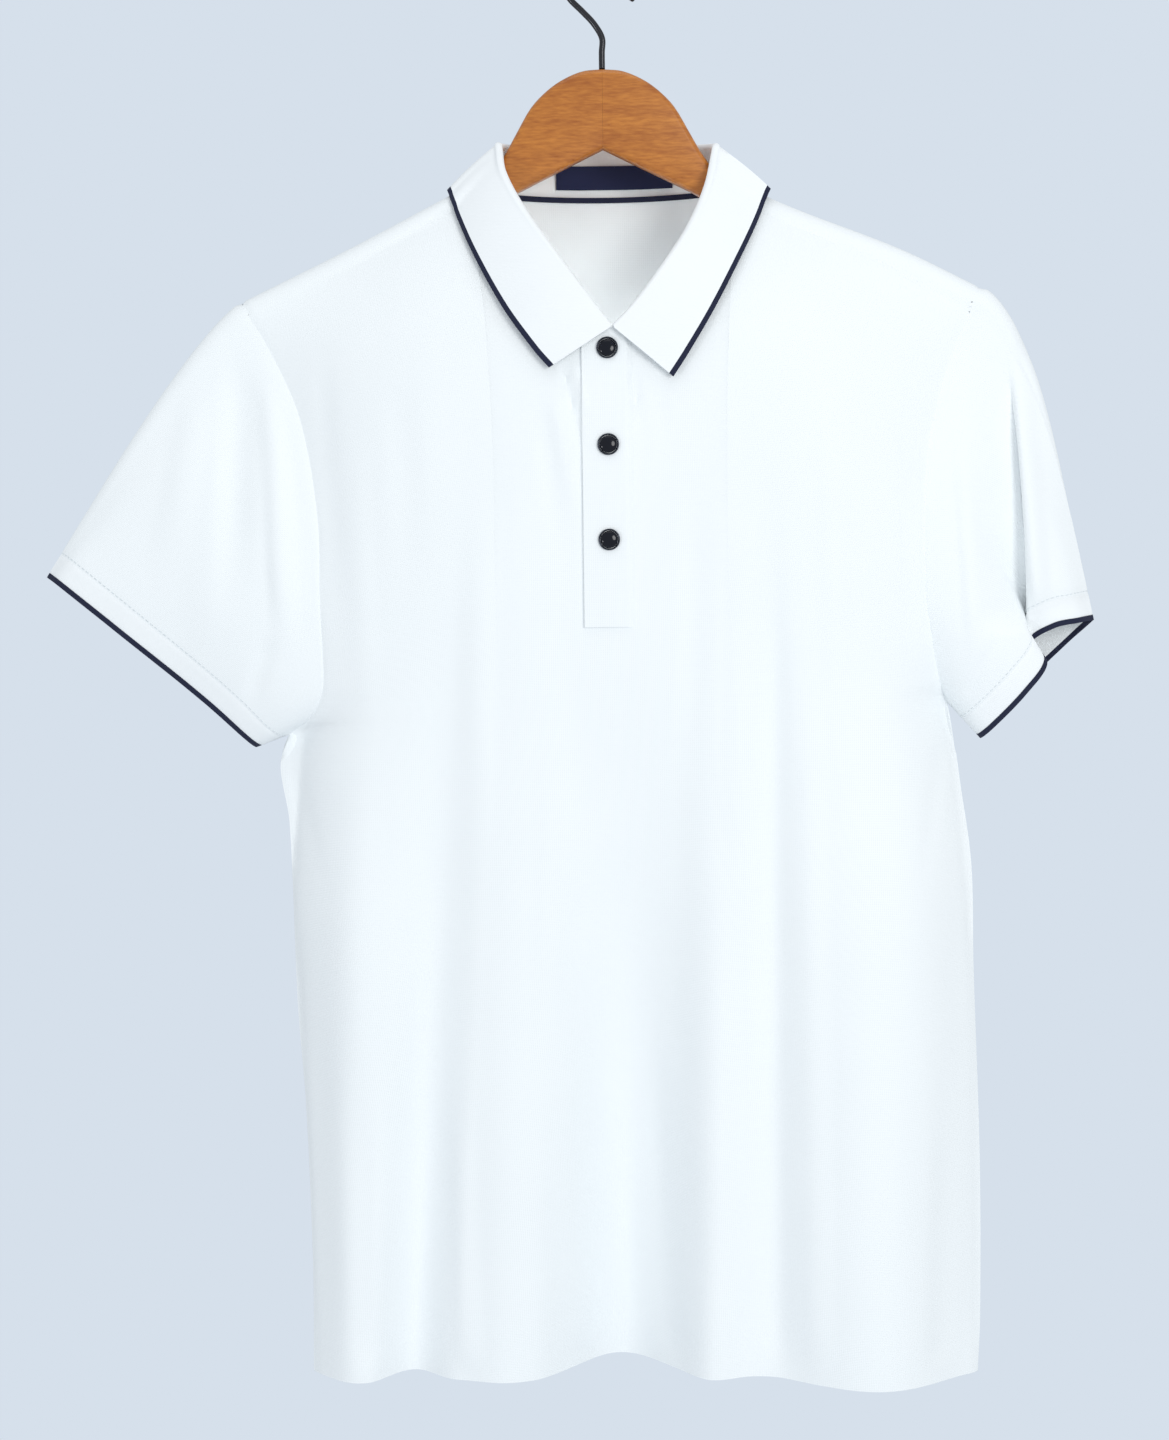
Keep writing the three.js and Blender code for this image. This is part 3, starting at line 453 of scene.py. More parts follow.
def over_ridge(drop):
    """Depth of the cloth over the shoulder at a drop below the ridge."""
    bent = min(drop, RIDGE_RADIUS)
    return math.sqrt(max(2 * RIDGE_RADIUS * bent - bent * bent, 0))


def tip_x(side):
    return abs(side.edge[0]["front_x"])


def shoulder_share(side):
    return (NECK_HALF - PLACKET_HALF) / (tip_x(side) - PLACKET_HALF)


Top = namedtuple("Top", "z y turn ridge_z shoulder_z")


@lru_cache(None)
def panel_top(face, side, share):
    """Where a panel starts, on the shoulder or on the neckline, and the shoulder over that place."""
    x = side.sign * mix(PLACKET_HALF, tip_x(side), share)
    ridge_x = side.sign * max(abs(x), NECK_HALF)
    ridge_z = read(side.ridge, "x", ridge_x, "z")
    seam = read(side.ridge, "x", ridge_x, "seam") if face is FRONT else 0
    shoulder_z = ridge_z - seam
    start_y = face.sign * over_ridge(seam)
    if share >= shoulder_share(side) - 1e-9:
        return Top(shoulder_z, start_y, 0.0, ridge_z, shoulder_z)
    turn = math.sqrt(max(1 - (x / NECK_HALF) ** 2, 0))
    middle_z = NECK_FRONT_Z if face is FRONT else NECK_BACK_Z
    middle_y = NECK_FRONT_Y if face is FRONT else NECK_BACK_Y
    return Top(mix(shoulder_z, middle_z, turn), mix(start_y, middle_y, turn), turn, ridge_z, shoulder_z)


def height_at(level, top_z, armpit_z, hem_z):
    """Height at a level, which is 0 at the top, 1 at the armpits and 2 at the hem."""
    return mix(top_z, armpit_z, level) if level <= 1 else mix(armpit_z, hem_z, level - 1)


def edge_height(face, side, level):
    return height_at(level, panel_top(face, side, 1).z, side.armpit_z, side.hem_z)


@lru_cache(None)
def panel_edge(face, side, level):
    """The armhole or side seam at a level: x and y."""
    edge_z = edge_height(face, side, level)
    return read(side.edge, "z", edge_z, face.x), read(side.edge, "z", edge_z, face.y)


@lru_cache(None)
def soft_edge(face, side, level):
    """The edge averaged over a stretch above and below, for the cloth away from the seam."""
    reach = 0.24 * ease(level, 0.25, 0.8)
    spots = [panel_edge(face, side, clamp(level + reach * step / 4, 0, 2)) for step in range(-4, 5)]
    return sum(spot[0] for spot in spots) / 9, sum(spot[1] for spot in spots) / 9


def bend_at(face, x, z):
    """How far folds, creases and slack move the cloth outwards."""
    return folds_at(face.folds, x, z) + creases_at(face.creases, x, z) + slack(x, z, face.sign * 3)


def body_depth(face, side, x, z, level):
    """Depth of the hanging cloth away from the shoulder, rounding back towards the side."""
    edge_x, edge_y = soft_edge(face, side, level)
    out = clamp((side.sign * x - PLACKET_HALF) / (side.sign * edge_x - PLACKET_HALF), 0, 0.995)
    swell = mix(1 - out**4, (1 - out**4) ** 0.25, ease(level, 0.9, 1.4))
    middle_y = read(MIDDLE_DEPTH, "z", z, face.depth)
    return mix(edge_y, middle_y + face.sign * bend_at(face, x, z), swell)


@lru_cache(None)
def end_depth(face, side, level):
    """Depth that the hanging cloth would have at its edge, before the seam holds it."""
    edge_x = panel_edge(face, side, level)[0]
    return body_depth(face, side, edge_x, edge_height(face, side, level), level)


@lru_cache(None)
def draped_point(face, side, share, level):
    """A point of a panel as it hangs: share runs from the placket out to the armhole or side seam."""
    top = panel_top(face, side, share)
    armpit_z = mix(ARMPIT_MIDDLE_Z, side.armpit_z, share)
    hem_z = mix(HEM_MIDDLE_Z, side.hem_z, share * share)
    z = height_at(level, top.z, armpit_z, hem_z)
    edge_x, edge_y = panel_edge(face, side, level)
    x = mix(side.sign * PLACKET_HALF, edge_x, share)
    body = body_depth(face, side, x, z, level)
    if share > SEAM_HOLDS_FROM:
        body += ease(share, SEAM_HOLDS_FROM, 1) ** 3 * (edge_y - end_depth(face, side, level))
    drop = max(top.ridge_z - z, 0)
    fallen = clamp((top.shoulder_z - z) / (top.shoulder_z - armpit_z))
    at_neck = ease(top.turn, 0, 0.9) if face is BACK else 0
    start = mix(face.sign * over_ridge(drop), top.y, at_neck)
    hung = mix(max(drop - RIDGE_RADIUS, 0), top.z - z, at_neck)
    reach = 1 - (1 - fallen) * math.exp(-hung / DRAPE_LENGTH)
    return Vector((x, mix(start, body, reach), z))


@lru_cache(None)
def neck_gap(side, angle):
    """How far the front's neckline lies behind the hanging cloth, at an angle round the neck."""
    x = NECK_HALF * math.cos(math.radians(angle))
    share = clamp((x - PLACKET_HALF) / (tip_x(side) - PLACKET_HALF), 0, shoulder_share(side))
    return panel_top(FRONT, side, share).y - draped_point(FRONT, side, share, 0).y


@lru_cache(None)
def panel_point(face, side, share, level):
    """A point of a panel, with the front held at its neckline."""
    point = draped_point(face, side, share, level).copy()
    if face is BACK:
        return point
    top = panel_top(face, side, share)
    neck_top = panel_top(face, side, shoulder_share(side)).z
    across = abs(point.x) / NECK_HALF
    down = max((neck_top - point.z) / (neck_top - NECK_FRONT_Z), 0)
    away = max(math.hypot(across, down) - 1, 0) * NECK_HALF
    angle = clamp(math.degrees(math.atan2(down, across)), 0, 89)
    below = math.floor(angle)
    gap = mix(neck_gap(side, below), neck_gap(side, below + 1), angle - below)
    point.y += gap * math.exp(-away / NECK_HOLD) * ease(top.shoulder_z - point.z, 0, 10)
    return point


def middle_point(face, x, level):
    """A point between the placket's two edges."""
    share = (x + PLACKET_HALF) / (2 * PLACKET_HALF)
    point = panel_point(face, RIGHT, 0, level).lerp(panel_point(face, LEFT, 0, level), share)
    ends = mix(bend_at(face, -PLACKET_HALF, point.z), bend_at(face, PLACKET_HALF, point.z), share)
    point.y += face.sign * ease(level, 0, 0.2) * (bend_at(face, x, point.z) - ends)
    point.x = x
    return point


@lru_cache(None)
def front_depth(x, z):
    """The front's depth at a place given by x and z."""
    side = RIGHT if x < 0 else LEFT
    if abs(x) <= PLACKET_HALF:
        top = panel_top(FRONT, side, 0).z
        return middle_point(FRONT, x, max((z - top) / (ARMPIT_MIDDLE_Z - top), 0)).y
    level = 0.3
    for _ in range(12):
        edge_x = panel_edge(FRONT, side, level)[0]
        share = clamp((x - side.sign * PLACKET_HALF) / (edge_x - side.sign * PLACKET_HALF))
        top = panel_top(FRONT, side, share).z
        level = clamp((z - top) / (mix(ARMPIT_MIDDLE_Z, side.armpit_z, share) - top))
    return panel_point(FRONT, side, share, level).y


def wrap_point(side, share, part):
    """Front of the shoulder ridge, cut in one with the back: part runs from the seam to the ridge."""
    seam_point = panel_point(FRONT, side, share, 0)
    ridge_point = panel_point(BACK, side, share, 0)
    if share < shoulder_share(side) - 1e-9:
        return ridge_point + Vector((0, 0, NECK_WRAP * (1 - part)))
    drop = (ridge_point.z - seam_point.z) * (1 - part) ** 2
    depth = seam_point.y if part == 0 else -over_ridge(drop)
    return Vector((mix(seam_point.x, ridge_point.x, part), depth, ridge_point.z - drop))


# Fineness of the cloth, coarser while trying things out
FINE = 1.0
NECK_STEPS = int(32 * FINE)
OUTER_STEPS = int(56 * FINE)
UPPER_STEPS = int(100 * FINE)
LOWER_STEPS = int(110 * FINE)
WRAP_STEPS = int(10 * FINE)
MIDDLE_STEPS = 10
SLEEVE_ROWS = int(56 * FINE)
PLACKET_LEVEL = (NECK_FRONT_Z - PLACKET_BOTTOM) / (NECK_FRONT_Z - ARMPIT_MIDDLE_Z)


def upper_levels():
    """Levels from the top to the armpits, closer together near the shoulders."""
    levels = [(step / UPPER_STEPS) ** 1.4 for step in range(UPPER_STEPS + 1)]
    nearest = min(range(len(levels)), key=lambda index: abs(levels[index] - PLACKET_LEVEL))
    levels[nearest] = PLACKET_LEVEL
    return levels


UPPER_LEVELS = upper_levels()
PLACKET_ROW = UPPER_LEVELS.index(PLACKET_LEVEL)
LEVELS = UPPER_LEVELS + [1 + (step + 1) / LOWER_STEPS for step in range(LOWER_STEPS)]
WRAP_PARTS = [step / WRAP_STEPS * 0.9 for step in range(WRAP_STEPS)]


def shares_of(side):
    """Columns of a panel, from the placket to the neck point and out to the edge."""
    reach = tip_x(side) - PLACKET_HALF
    start = math.acos(PLACKET_HALF / NECK_HALF)
    angles = [start * (1 - step / NECK_STEPS) for step in range(1, NECK_STEPS)]
    neck = [(NECK_HALF * math.cos(angle) - PLACKET_HALF) / reach for angle in angles]
    shoulder = shoulder_share(side)
    outer = [mix(shoulder, 1, step / OUTER_STEPS) for step in range(OUTER_STEPS + 1)]
    return [0.0] + neck + outer


def panel_columns():
    """Columns from the wearer's right edge to the left one, as a side and a share or a middle x."""
    right = [(RIGHT, share) for share in reversed(shares_of(RIGHT))]
    left = [(LEFT, share) for share in shares_of(LEFT)]
    steps = range(1, MIDDLE_STEPS)
    middle = [(None, PLACKET_HALF * (2 * step / MIDDLE_STEPS - 1)) for step in steps]
    return right + middle + left


COLUMNS = panel_columns()
FIRST_MIDDLE = len(shares_of(RIGHT)) - 1
LAST_MIDDLE = FIRST_MIDDLE + MIDDLE_STEPS


def body_point(face, column, level):
    side, place = column
    return middle_point(face, place, level) if side is None else panel_point(face, side, place, level)


# Making meshes
def in_metres(point):
    return Vector(point) * 0.001


def link_object(name, data):
    made = bpy.data.objects.new(name, data)
    bpy.context.scene.collection.objects.link(made)
    return made


def add_object(name, mesh_maker, material, smooth=True):
    """A new object at the origin from a bmesh in metres."""
    mesh = bpy.data.meshes.new(name)
    mesh_maker.normal_update()
    mesh_maker.to_mesh(mesh)
    mesh_maker.free()
    for face in mesh.polygons:
        face.use_smooth = smooth
    mesh.materials.append(material)
    return link_object(name, mesh)


def run_of(point_at, at, low, high):
    """Direction of a line of points at one of them, taken over a little of the cloth."""
    for reach in range(1, 12):
        run = point_at(min(at + reach, high)) - point_at(max(at - reach, low))
        if run.length > NORMAL_RUN:
            break
    return run


@dataclass(eq=False)
class Cloth:
    """A cloth wall on a grid of middle points, given as rows from the top down.

    A closed grid meets itself round a sleeve. cut takes a row and a column and says whether that
    cell is open. A seam sinks the wall's outside a little along the grid's border."""

    name: str
    points: list
    material: bpy.types.Material
    wall: float = CLOTH
    closed: bool = False
    flip: bool = False
    cut: object = None
    seam: float = SEAM_SINKS

    def __post_init__(self):
        self.tall = len(self.points) - 1
        self.wide = len(self.points[0]) - 1
        columns = range(self.wide + 1)
        self.normals = [[self.normal_at(row, column) for column in columns] for row in range(self.tall + 1)]
        self.border = self.border_spots()
        for row, column in self.border:
            key = seam_key(self.points[row][column])
            SEWN[key] = SEWN.get(key, Vector()) + self.normals[row][column]
        CLOTHS.append(self)

    def normal_at(self, row, column):
        low, high = 0, self.wide
        if self.cut is not None and row <= PLACKET_ROW:
            high = FIRST_MIDDLE if column <= FIRST_MIDDLE else high
            low = LAST_MIDDLE if column >= LAST_MIDDLE else low
        line = self.points[row]
        if self.closed:
            across = run_of(lambda at: line[at % self.wide], column, -self.wide, 2 * self.wide)
        else:
            across = run_of(lambda at: line[at], column, low, high)
        down = run_of(lambda at: self.points[at][column], row, 0, self.tall)
        normal = across.cross(down).normalized()
        return normal if self.flip else -normal

    def border_spots(self):
        spots = {(row, column) for row in (0, self.tall) for column in range(self.wide + 1)}
        if not self.closed:
            spots |= {(row, column) for row in range(self.tall + 1) for column in (0, self.wide)}
        if self.cut is not None:
            slit_rows = range(PLACKET_ROW + 1)
            spots |= {(row, column) for row in slit_rows for column in (FIRST_MIDDLE, LAST_MIDDLE)}
            spots |= {(PLACKET_ROW, column) for column in range(FIRST_MIDDLE, LAST_MIDDLE + 1)}
            spots -= {(0, column) for column in range(FIRST_MIDDLE + 1, LAST_MIDDLE)}
        return spots

    def build(self):
        """The wall as an object: a flat grid is cut, given its other side, and laid on the form."""
        wide, tall = self.wide, self.tall
        maker = bmesh.new()
        bmesh.ops.create_grid(maker, x_segments=wide, y_segments=tall, size=0.5)

        def spot_of(vert):
            return round((0.5 - vert.co.y) * tall), round((vert.co.x + 0.5) * wide)

        uv_layer = maker.loops.layers.uv.new("cloth")
        across, down = self.lengths_across(), self.lengths_up()
        for face in maker.faces:
            for loop in face.loops:
                row, column = spot_of(loop.vert)
                loop[uv_layer].uv = (across[row][column], down[row][column])
        if self.cut is not None:
            spots = {face: [spot_of(vert) for vert in face.verts] for face in maker.faces}
            open_faces = [face for face, corners in spots.items() if self.cut(*min(corners))]
            bmesh.ops.delete(maker, geom=open_faces, context="FACES")
        if self.closed:
            by_spot = {spot_of(vert): vert for vert in maker.verts}
            last_onto_first = {by_spot[row, wide]: by_spot[row, 0] for row in range(tall + 1)}
            bmesh.ops.weld_verts(maker, targetmap=last_onto_first)
        grown = bmesh.ops.extrude_face_region(maker, geom=list(maker.faces))
        outer = {part for part in grown["geom"] if isinstance(part, bmesh.types.BMVert)}
        half = self.wall / 2
        for vert in maker.verts:
            row, column = spot_of(vert)
            point, normal = self.points[row][column], self.normals[row][column]
            sunk = 0
            if (row, column) in self.border:
                normal = SEWN[seam_key(point)].normalized()
                sunk = self.seam
            reach = half - sunk if vert in outer else -half
            vert.co = in_metres(point + normal * reach)
        bmesh.ops.recalc_face_normals(maker, faces=maker.faces)
        for edge in maker.edges:
            edge.smooth = not edge.is_manifold or edge.calc_face_angle(0) < SHARP_EDGE
        return add_object(self.name, maker, self.material)

    def lengths_across(self):
        """Distance in metres over the cloth along each row, from the middle column."""
        lengths = []
        for row in self.points:
            line = list(accumulate(runs_between(row, row[1:]), initial=0.0))
            lengths.append([length - line[self.wide // 2] for length in line])
        return lengths

    def lengths_up(self):
        """Distance in metres over the cloth up each column, from the bottom row."""
        lengths = [[0.0] * (self.wide + 1)]
        for row in range(self.tall, 0, -1):
            runs = runs_between(self.points[row], self.points[row - 1])
            lengths.insert(0, [last + run for last, run in zip(lengths[0], runs)])
        return lengths


def runs_between(starts, ends):
    """Distances in metres from each point to its fellow."""
    return [(end - start).length * 0.001 for start, end in zip(starts, ends)]


# Normals shared where pieces are sewn together, and every piece of cloth, in the order it is made
SEWN = {}
CLOTHS = []


def seam_key(point):
    return tuple(round(value * 20) for value in point)


# Materials
def new_group(name, inputs, outputs):
    """A shader node group with named float or colour sockets and its two end nodes."""
    group = bpy.data.node_groups.new(name, "ShaderNodeTree")
    for label, kind, value in inputs:
        socket = group.interface.new_socket(label, in_out="INPUT", socket_type=kind)
        if value is not None:
            socket.default_value = value
    for label, kind in outputs:
        group.interface.new_socket(label, in_out="OUTPUT", socket_type=kind)
    return group, group.nodes.new("NodeGroupInput"), group.nodes.new("NodeGroupOutput")


def node(tree, kind, **inputs):
    """A node with the values or links of its inputs, by name or by number."""
    return fill(tree, tree.nodes.new(kind), **inputs)


def fill(tree, made, **inputs):
    for label, value in inputs.items():
        connect(tree, made, int(label[1:]) if label[1:].isdigit() else label.replace("_", " "), value)
    return made


def connect(tree, made, label, value):
    socket = made.inputs[label]
    if isinstance(value, bpy.types.NodeSocket):
        tree.links.new(value, socket)
    else:
        socket.default_value = value


def maths(tree, operation, first, second=0.0, third=0.0):
    made = tree.nodes.new("ShaderNodeMath")
    made.operation = operation
    for index, value in enumerate((first, second, third)):
        connect(tree, made, index, value)
    return made.outputs[0]


def cloudy(tree, place, scale, detail):
    """Noise at a place, from 0 to 1."""
    return node(tree, "ShaderNodeTexNoise", Vector=place, Scale=scale, Detail=detail).outputs["Fac"]


def blended(tree, factor, low, high):
    """A colour between two others."""
    made = tree.nodes.new("ShaderNodeMix")
    made.data_type = "RGBA"
    return fill(tree, made, Factor=factor, _6=(*low, 1), _7=(*high, 1)).outputs[2]


def raised(tree, height, distance, strength):
    """The normal of a surface raised by a height, at most by a distance in millimetres."""
    made = node(tree, "ShaderNodeBump", Height=height, Strength=strength, Distance=distance * 0.001)
    return made.outputs["Normal"]


def make_knit_group(name, cell, cloud_scale, stitch):
    """A knit on a cloth's own UV: its cell's width and height in millimetres, and what one stitch of
    it makes of the waves across and down the cloth, which are a height and its part of the painted shade,
    lighter on the raised parts and darker in the hollows."""
    group, start, end = new_group(
        name,
        [("Place", "NodeSocketVector", None), ("Cell Width", "NodeSocketFloat", cell[0]),
         ("Cell Height", "NodeSocketFloat", cell[1])],
        [("Height", "NodeSocketFloat"), ("Shade", "NodeSocketFloat")],
    )
    place = start.outputs["Place"]
    along = node(group, "ShaderNodeSeparateXYZ", Vector=place).outputs
    waves = []
    for axis, label in enumerate(("Cell Width", "Cell Height")):
        cells = maths(group, "DIVIDE", maths(group, "MULTIPLY", along[axis], 1000), start.outputs[label])
        waves.append(maths(group, "SINE", maths(group, "MULTIPLY", cells, math.pi)))
    height, shade = stitch(group, place, *waves)
    fill(group, end, Height=height)
    # Shade output: the stitch's painted shade, darker in its hollows, plus a cloudy random tone
    fill(group, end, Shade=maths(group, "MULTIPLY_ADD", cloudy(group, place, cloud_scale, 3.0), 0.5, shade))
    return group


def pique_stitch(group, place, across, down):
    """Small raised cells in a staggered lattice, rough with yarn, with painted shade: the cells lighter, the
    hollows between them darker.
    """
    cells = maths(group, "ABSOLUTE", maths(group, "MULTIPLY", across, down))
    rounded = maths(group, "POWER", cells, 0.6)
    height = maths(group, "MULTIPLY_ADD", cloudy(group, place, 900.0, 2.0), 0.25, rounded)
    return height, maths(group, "MULTIPLY", rounded, 0.5)


def rib_stitch(group, place, across, down):
    """Fine ridges along the cloth's length, crossed by the courses of the knit, with painted shade: the
    ridges lighter, the grooves darker.
    """
    ribs, courses = maths(group, "ABSOLUTE", across), maths(group, "ABSOLUTE", down)
    height = maths(group, "MULTIPLY_ADD", courses, 0.35, ribs)
    return height, maths(group, "MULTIPLY", height, 0.35)


PIQUE_GROUP = make_knit_group("Pique knit", (1.25, 1.0), 14.0, pique_stitch)
RIB_GROUP = make_knit_group("Rib knit", (1.1, 0.8), 20.0, rib_stitch)


def new_material(name):
    material = bpy.data.materials.new(name)
    material.use_nodes = True
    return material, material.node_tree


def finished(material, **inputs):
    """The material, once its surface has its colour, roughness and other inputs."""
    fill(material.node_tree, material.node_tree.nodes["Principled BSDF"], **inputs)
    return material


def knit_material(name, group, low_colour, high_colour, bump, sheen, cell=None):
    """Matt cotton knit: its colour, a painted shade of the knit's hollows over a cloudy random tone, and its
    bump follow the knit on the cloth's own UV.
    """
    material, tree = new_material(name)
    knit = tree.nodes.new("ShaderNodeGroup")
    knit.node_tree = group
    fill(tree, knit, Place=node(tree, "ShaderNodeTexCoord").outputs["UV"])
    if cell is not None:
        fill(tree, knit, Cell_Width=cell, Cell_Height=cell)
    return finished(
        material, Base_Color=blended(tree, knit.outputs["Shade"], low_colour, high_colour),
        Normal=raised(tree, knit.outputs["Height"], bump, 0.5),
        Roughness=0.88, Sheen_Weight=sheen, Sheen_Roughness=0.45,
    )


def make_lacquered_wood():
    """Orange-brown lacquer over straight grain."""
    material, tree = new_material("lacquered beech")
    place = node(tree, "ShaderNodeTexCoord").outputs["Object"]

    def grain(scale, detail):
        stretched = node(tree, "ShaderNodeMapping", Vector=place, Scale=scale, Rotation=(0, 0.35, 0))
        return cloudy(tree, stretched.outputs[0], 1.0, detail)

    pores = grain((130, 500, 700), 3.0)
    both = maths(tree, "MULTIPLY_ADD", pores, 0.6, maths(tree, "MULTIPLY", grain((22, 120, 160), 6.0), 0.45))
    ramp = node(tree, "ShaderNodeValToRGB", Fac=both)
    dark, light = ramp.color_ramp.elements
    dark.position, dark.color = 0.36, (0.36, 0.10, 0.009, 1)
    light.position, light.color = 0.74, (0.62, 0.225, 0.028, 1)
    return finished(
        material, Base_Color=ramp.outputs[0], Roughness=maths(tree, "MULTIPLY_ADD", pores, 0.12, 0.24),
        Normal=raised(tree, both, 0.2, 0.25), Coat_Weight=0.25, Coat_Roughness=0.12,
    )


def hard_material(name, colour, metal, roughness, coat=0.0, **inputs):
    """Gloss plastic or metal with a faint unevenness in its polish."""
    material, tree = new_material(name)
    worn = cloudy(tree, node(tree, "ShaderNodeTexCoord").outputs["Object"], 260.0, 3.0)
    rough = maths(tree, "MULTIPLY_ADD", worn, 0.1, roughness - 0.05)
    return finished(
        material, Base_Color=(*colour, 1), Roughness=rough, Metallic=metal, Coat_Weight=coat, **inputs
    )


# Each knit's low and high colours are mixed by the painted shade of its stitch hollows and a cloudy random
# tone
PIQUE = knit_material("white pique", PIQUE_GROUP, (0.89, 0.925, 0.94), (0.94, 0.965, 0.975), 0.16, 0.12)
RIB = knit_material("white rib", RIB_GROUP, (0.90, 0.93, 0.945), (0.945, 0.965, 0.975), 0.14, 0.12)
NAVY = knit_material(
    "navy knitted edge", RIB_GROUP, (0.004, 0.006, 0.022), (0.010, 0.015, 0.05), 0.15, 0.02, 0.8
)
DAMASK = knit_material(
    "navy woven label", RIB_GROUP, (0.004, 0.007, 0.035), (0.010, 0.016, 0.07), 0.06, 0.02, 0.35
)
# White thread painted greyer than the cloth, as painted shade of the needle holes and the sunk seam line
SHADED_THREAD = knit_material(
    "white thread greyed by painted seam shade", RIB_GROUP, (0.72, 0.77, 0.80), (0.82, 0.86, 0.88), 0.05, 0.1, 0.3
)
WOOD = make_lacquered_wood()
CAP = hard_material("black gloss cap", (0.002, 0.003, 0.008), 0.0, 0.1, Specular_IOR_Level=0.32)
RIM = hard_material("dark polished ring", (0.05, 0.055, 0.07), 1.0, 0.2)
WIRE = hard_material("black lacquered wire", (0.02, 0.02, 0.025), 0.6, 0.32, 0.3)


# Body of the shirt
def finish_piece(piece, nodes):
    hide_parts(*nodes)
    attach(piece, "root")
    return piece


ON_HANGER = ("hanger_arm_right", "hanger_arm_left")
CUTS = {}


def cloth_piece(name, node_name, slot, points, material, sheet=None, **shape):
    """Plans a piece of cloth, which is made once the seams of all pieces are known."""
    Cloth(name, points, material, **shape)
    CUTS[name] = (node_name, slot, sheet)


def make_cloths():
    for cloth in CLOTHS:
        piece = cloth.build()
        node_name, slot, sheet = CUTS[cloth.name]
        finish_piece(piece, [node_name])


def make_front():
    points = [[body_point(FRONT, column, level) for column in COLUMNS] for level in LEVELS]

    def in_slit(row, column):
        return row < PLACKET_ROW and FIRST_MIDDLE <= column < LAST_MIDDLE

    cut_size = {"flat": (0.49, 0.70), "held": "hung", "rests_on": ON_HANGER, "area": 0.29}
    cloth_piece("shirt_front", "front_panel", "pique", points, PIQUE, cut_size, flip=True, cut=in_slit)


def wrap_column(column, part):
    side, place = column
    if side is None:
        return middle_point(BACK, place, 0) + Vector((0, 0, NECK_WRAP * (1 - part)))
    return wrap_point(side, place, part)


def make_back():
    points = [[wrap_column(column, part) for column in COLUMNS] for part in WRAP_PARTS]
    points += [[body_point(BACK, column, level) for column in COLUMNS] for level in LEVELS]
    cut_size = {"flat": (0.49, 0.73), "held": "hung", "rests_on": ON_HANGER, "area": 0.31}
    cloth_piece("shirt_back", "back_panel", "pique", points, PIQUE, cut_size)


def make_placket(name, node_name, lift):
    """A placket strip at a distance in front of the body's middle surface. Both strips sink in
    towards the side where they are sewn to the body."""

    def strip_point(x, level):
        sunk = PLACKET_SINKS * ease(x, PLACKET_HALF - PLACKET_SINKS_OVER, PLACKET_HALF)
        return middle_point(FRONT, x, level) + Vector((0, sunk - lift, 0))

    xs = [PLACKET_HALF * (2 * step / 28 - 1) for step in range(29)]
    points = [[strip_point(x, level) for x in xs] for level in UPPER_LEVELS[: PLACKET_ROW + 1]]
    cut_size = {"flat": (0.03, 0.175), "held": "hung"}
    cloth_piece(name, node_name, "pique", points, PIQUE, cut_size, flip=True, seam=0)


# Sleeves
@lru_cache(None)
def armhole_loop(side):
    """Points of the armhole from the shoulder seam down the front and up the back, and their turns."""
    front = [panel_point(FRONT, side, 1, level) for level in UPPER_LEVELS]
    back = [panel_point(BACK, side, 1, level) for level in reversed(UPPER_LEVELS[:-1])]
    wrap = [wrap_point(side, 1, part) for part in reversed(WRAP_PARTS[1:])]
    loop = front + back + wrap
    lengths = list(accumulate(runs_between(loop, loop[1:] + loop[:1]), initial=0.0))
    underarm, whole = lengths[len(front) - 1], lengths[-1]
    down = [0.5 * length / underarm for length in lengths[: len(front)]]
    up = [0.5 + 0.5 * (length - underarm) / (whole - underarm) for length in lengths[len(front):-1]]
    return loop, down + up


def cuff_end(side, turn):
    return Vector([read(side.cuff, "turn", turn, axis) for axis in "xyz"])


def sleeve_point(side, start, end, turn, share):
    """A point of a sleeve on the line from an armhole point to the cuff's edge."""
    point = start.lerp(end, share)
    crown = math.cos(math.pi * turn) ** 4
    head = side.head_bulge * crown * math.sin(math.pi * share**0.6)
    point.x += side.sign * head
    point.z += head * HEAD_RISE
    face_share = math.sin(2 * math.pi * turn)
    point.y -= SLEEVE_PUFF * math.sin(math.pi * share) * face_share
    onto_face = -1 if turn < 0.5 else 1
    loose = abs(face_share) ** 0.5 * ease(share, 0, 0.12)
    crease = creases_at(side.creases, point.x, point.z)
    bend = crease + slack(point.x, point.z, 11 + onto_face)
    point.y += onto_face * loose * bend
    point.x -= side.lean * loose * crease
    return point


def sleeve_rows(side, from_edge, to_edge, steps):
    """Rows round the sleeve between two distances from its edge, or from the armhole."""
    columns = []
    for start, turn in zip(*armhole_loop(side)):
        end = cuff_end(side, turn)
        length = (end - start).length
        first = 0 if from_edge is None else 1 - from_edge / length
        shares = [mix(first, 1 - to_edge / length, step / steps) for step in range(steps + 1)]
        columns.append([sleeve_point(side, start, end, turn, share) for share in shares])
    return [list(row) for row in zip(*columns, columns[0])]


def make_sleeve(side):
    shape = {"closed": True, "flip": side is LEFT}
    sleeve = sleeve_rows(side, None, RIB_DEPTH, SLEEVE_ROWS)
    cut_size = {"flat": (0.44, 0.19), "held": "hung", "area": 0.048}
    cloth_piece(f"{side.name}_sleeve_cloth", f"{side.name}_sleeve", "pique", sleeve, PIQUE, cut_size, **shape)
    cuff = sleeve_rows(side, RIB_DEPTH, TIPPING, 8)
    cut_size = {"flat": (0.34, 0.013), "held": "hung"}
    cloth_piece(f"{side.name}_cuff_rib", f"{side.name}_cuff", "rib", cuff, RIB, cut_size, **shape)
    edge = sleeve_rows(side, TIPPING, 0, 3)
    cloth_piece(f"{side.name}_cuff_edge", f"{side.name}_cuff_tipping", "tipping", edge, NAVY, seam=0, **shape)


# Collar
def neckline_point(face, side, distance):
    if distance <= PLACKET_HALF:
        return middle_point(face, side.sign * distance, 0)
    return panel_point(face, side, (distance - PLACKET_HALF) / (tip_x(side) - PLACKET_HALF), 0).copy()


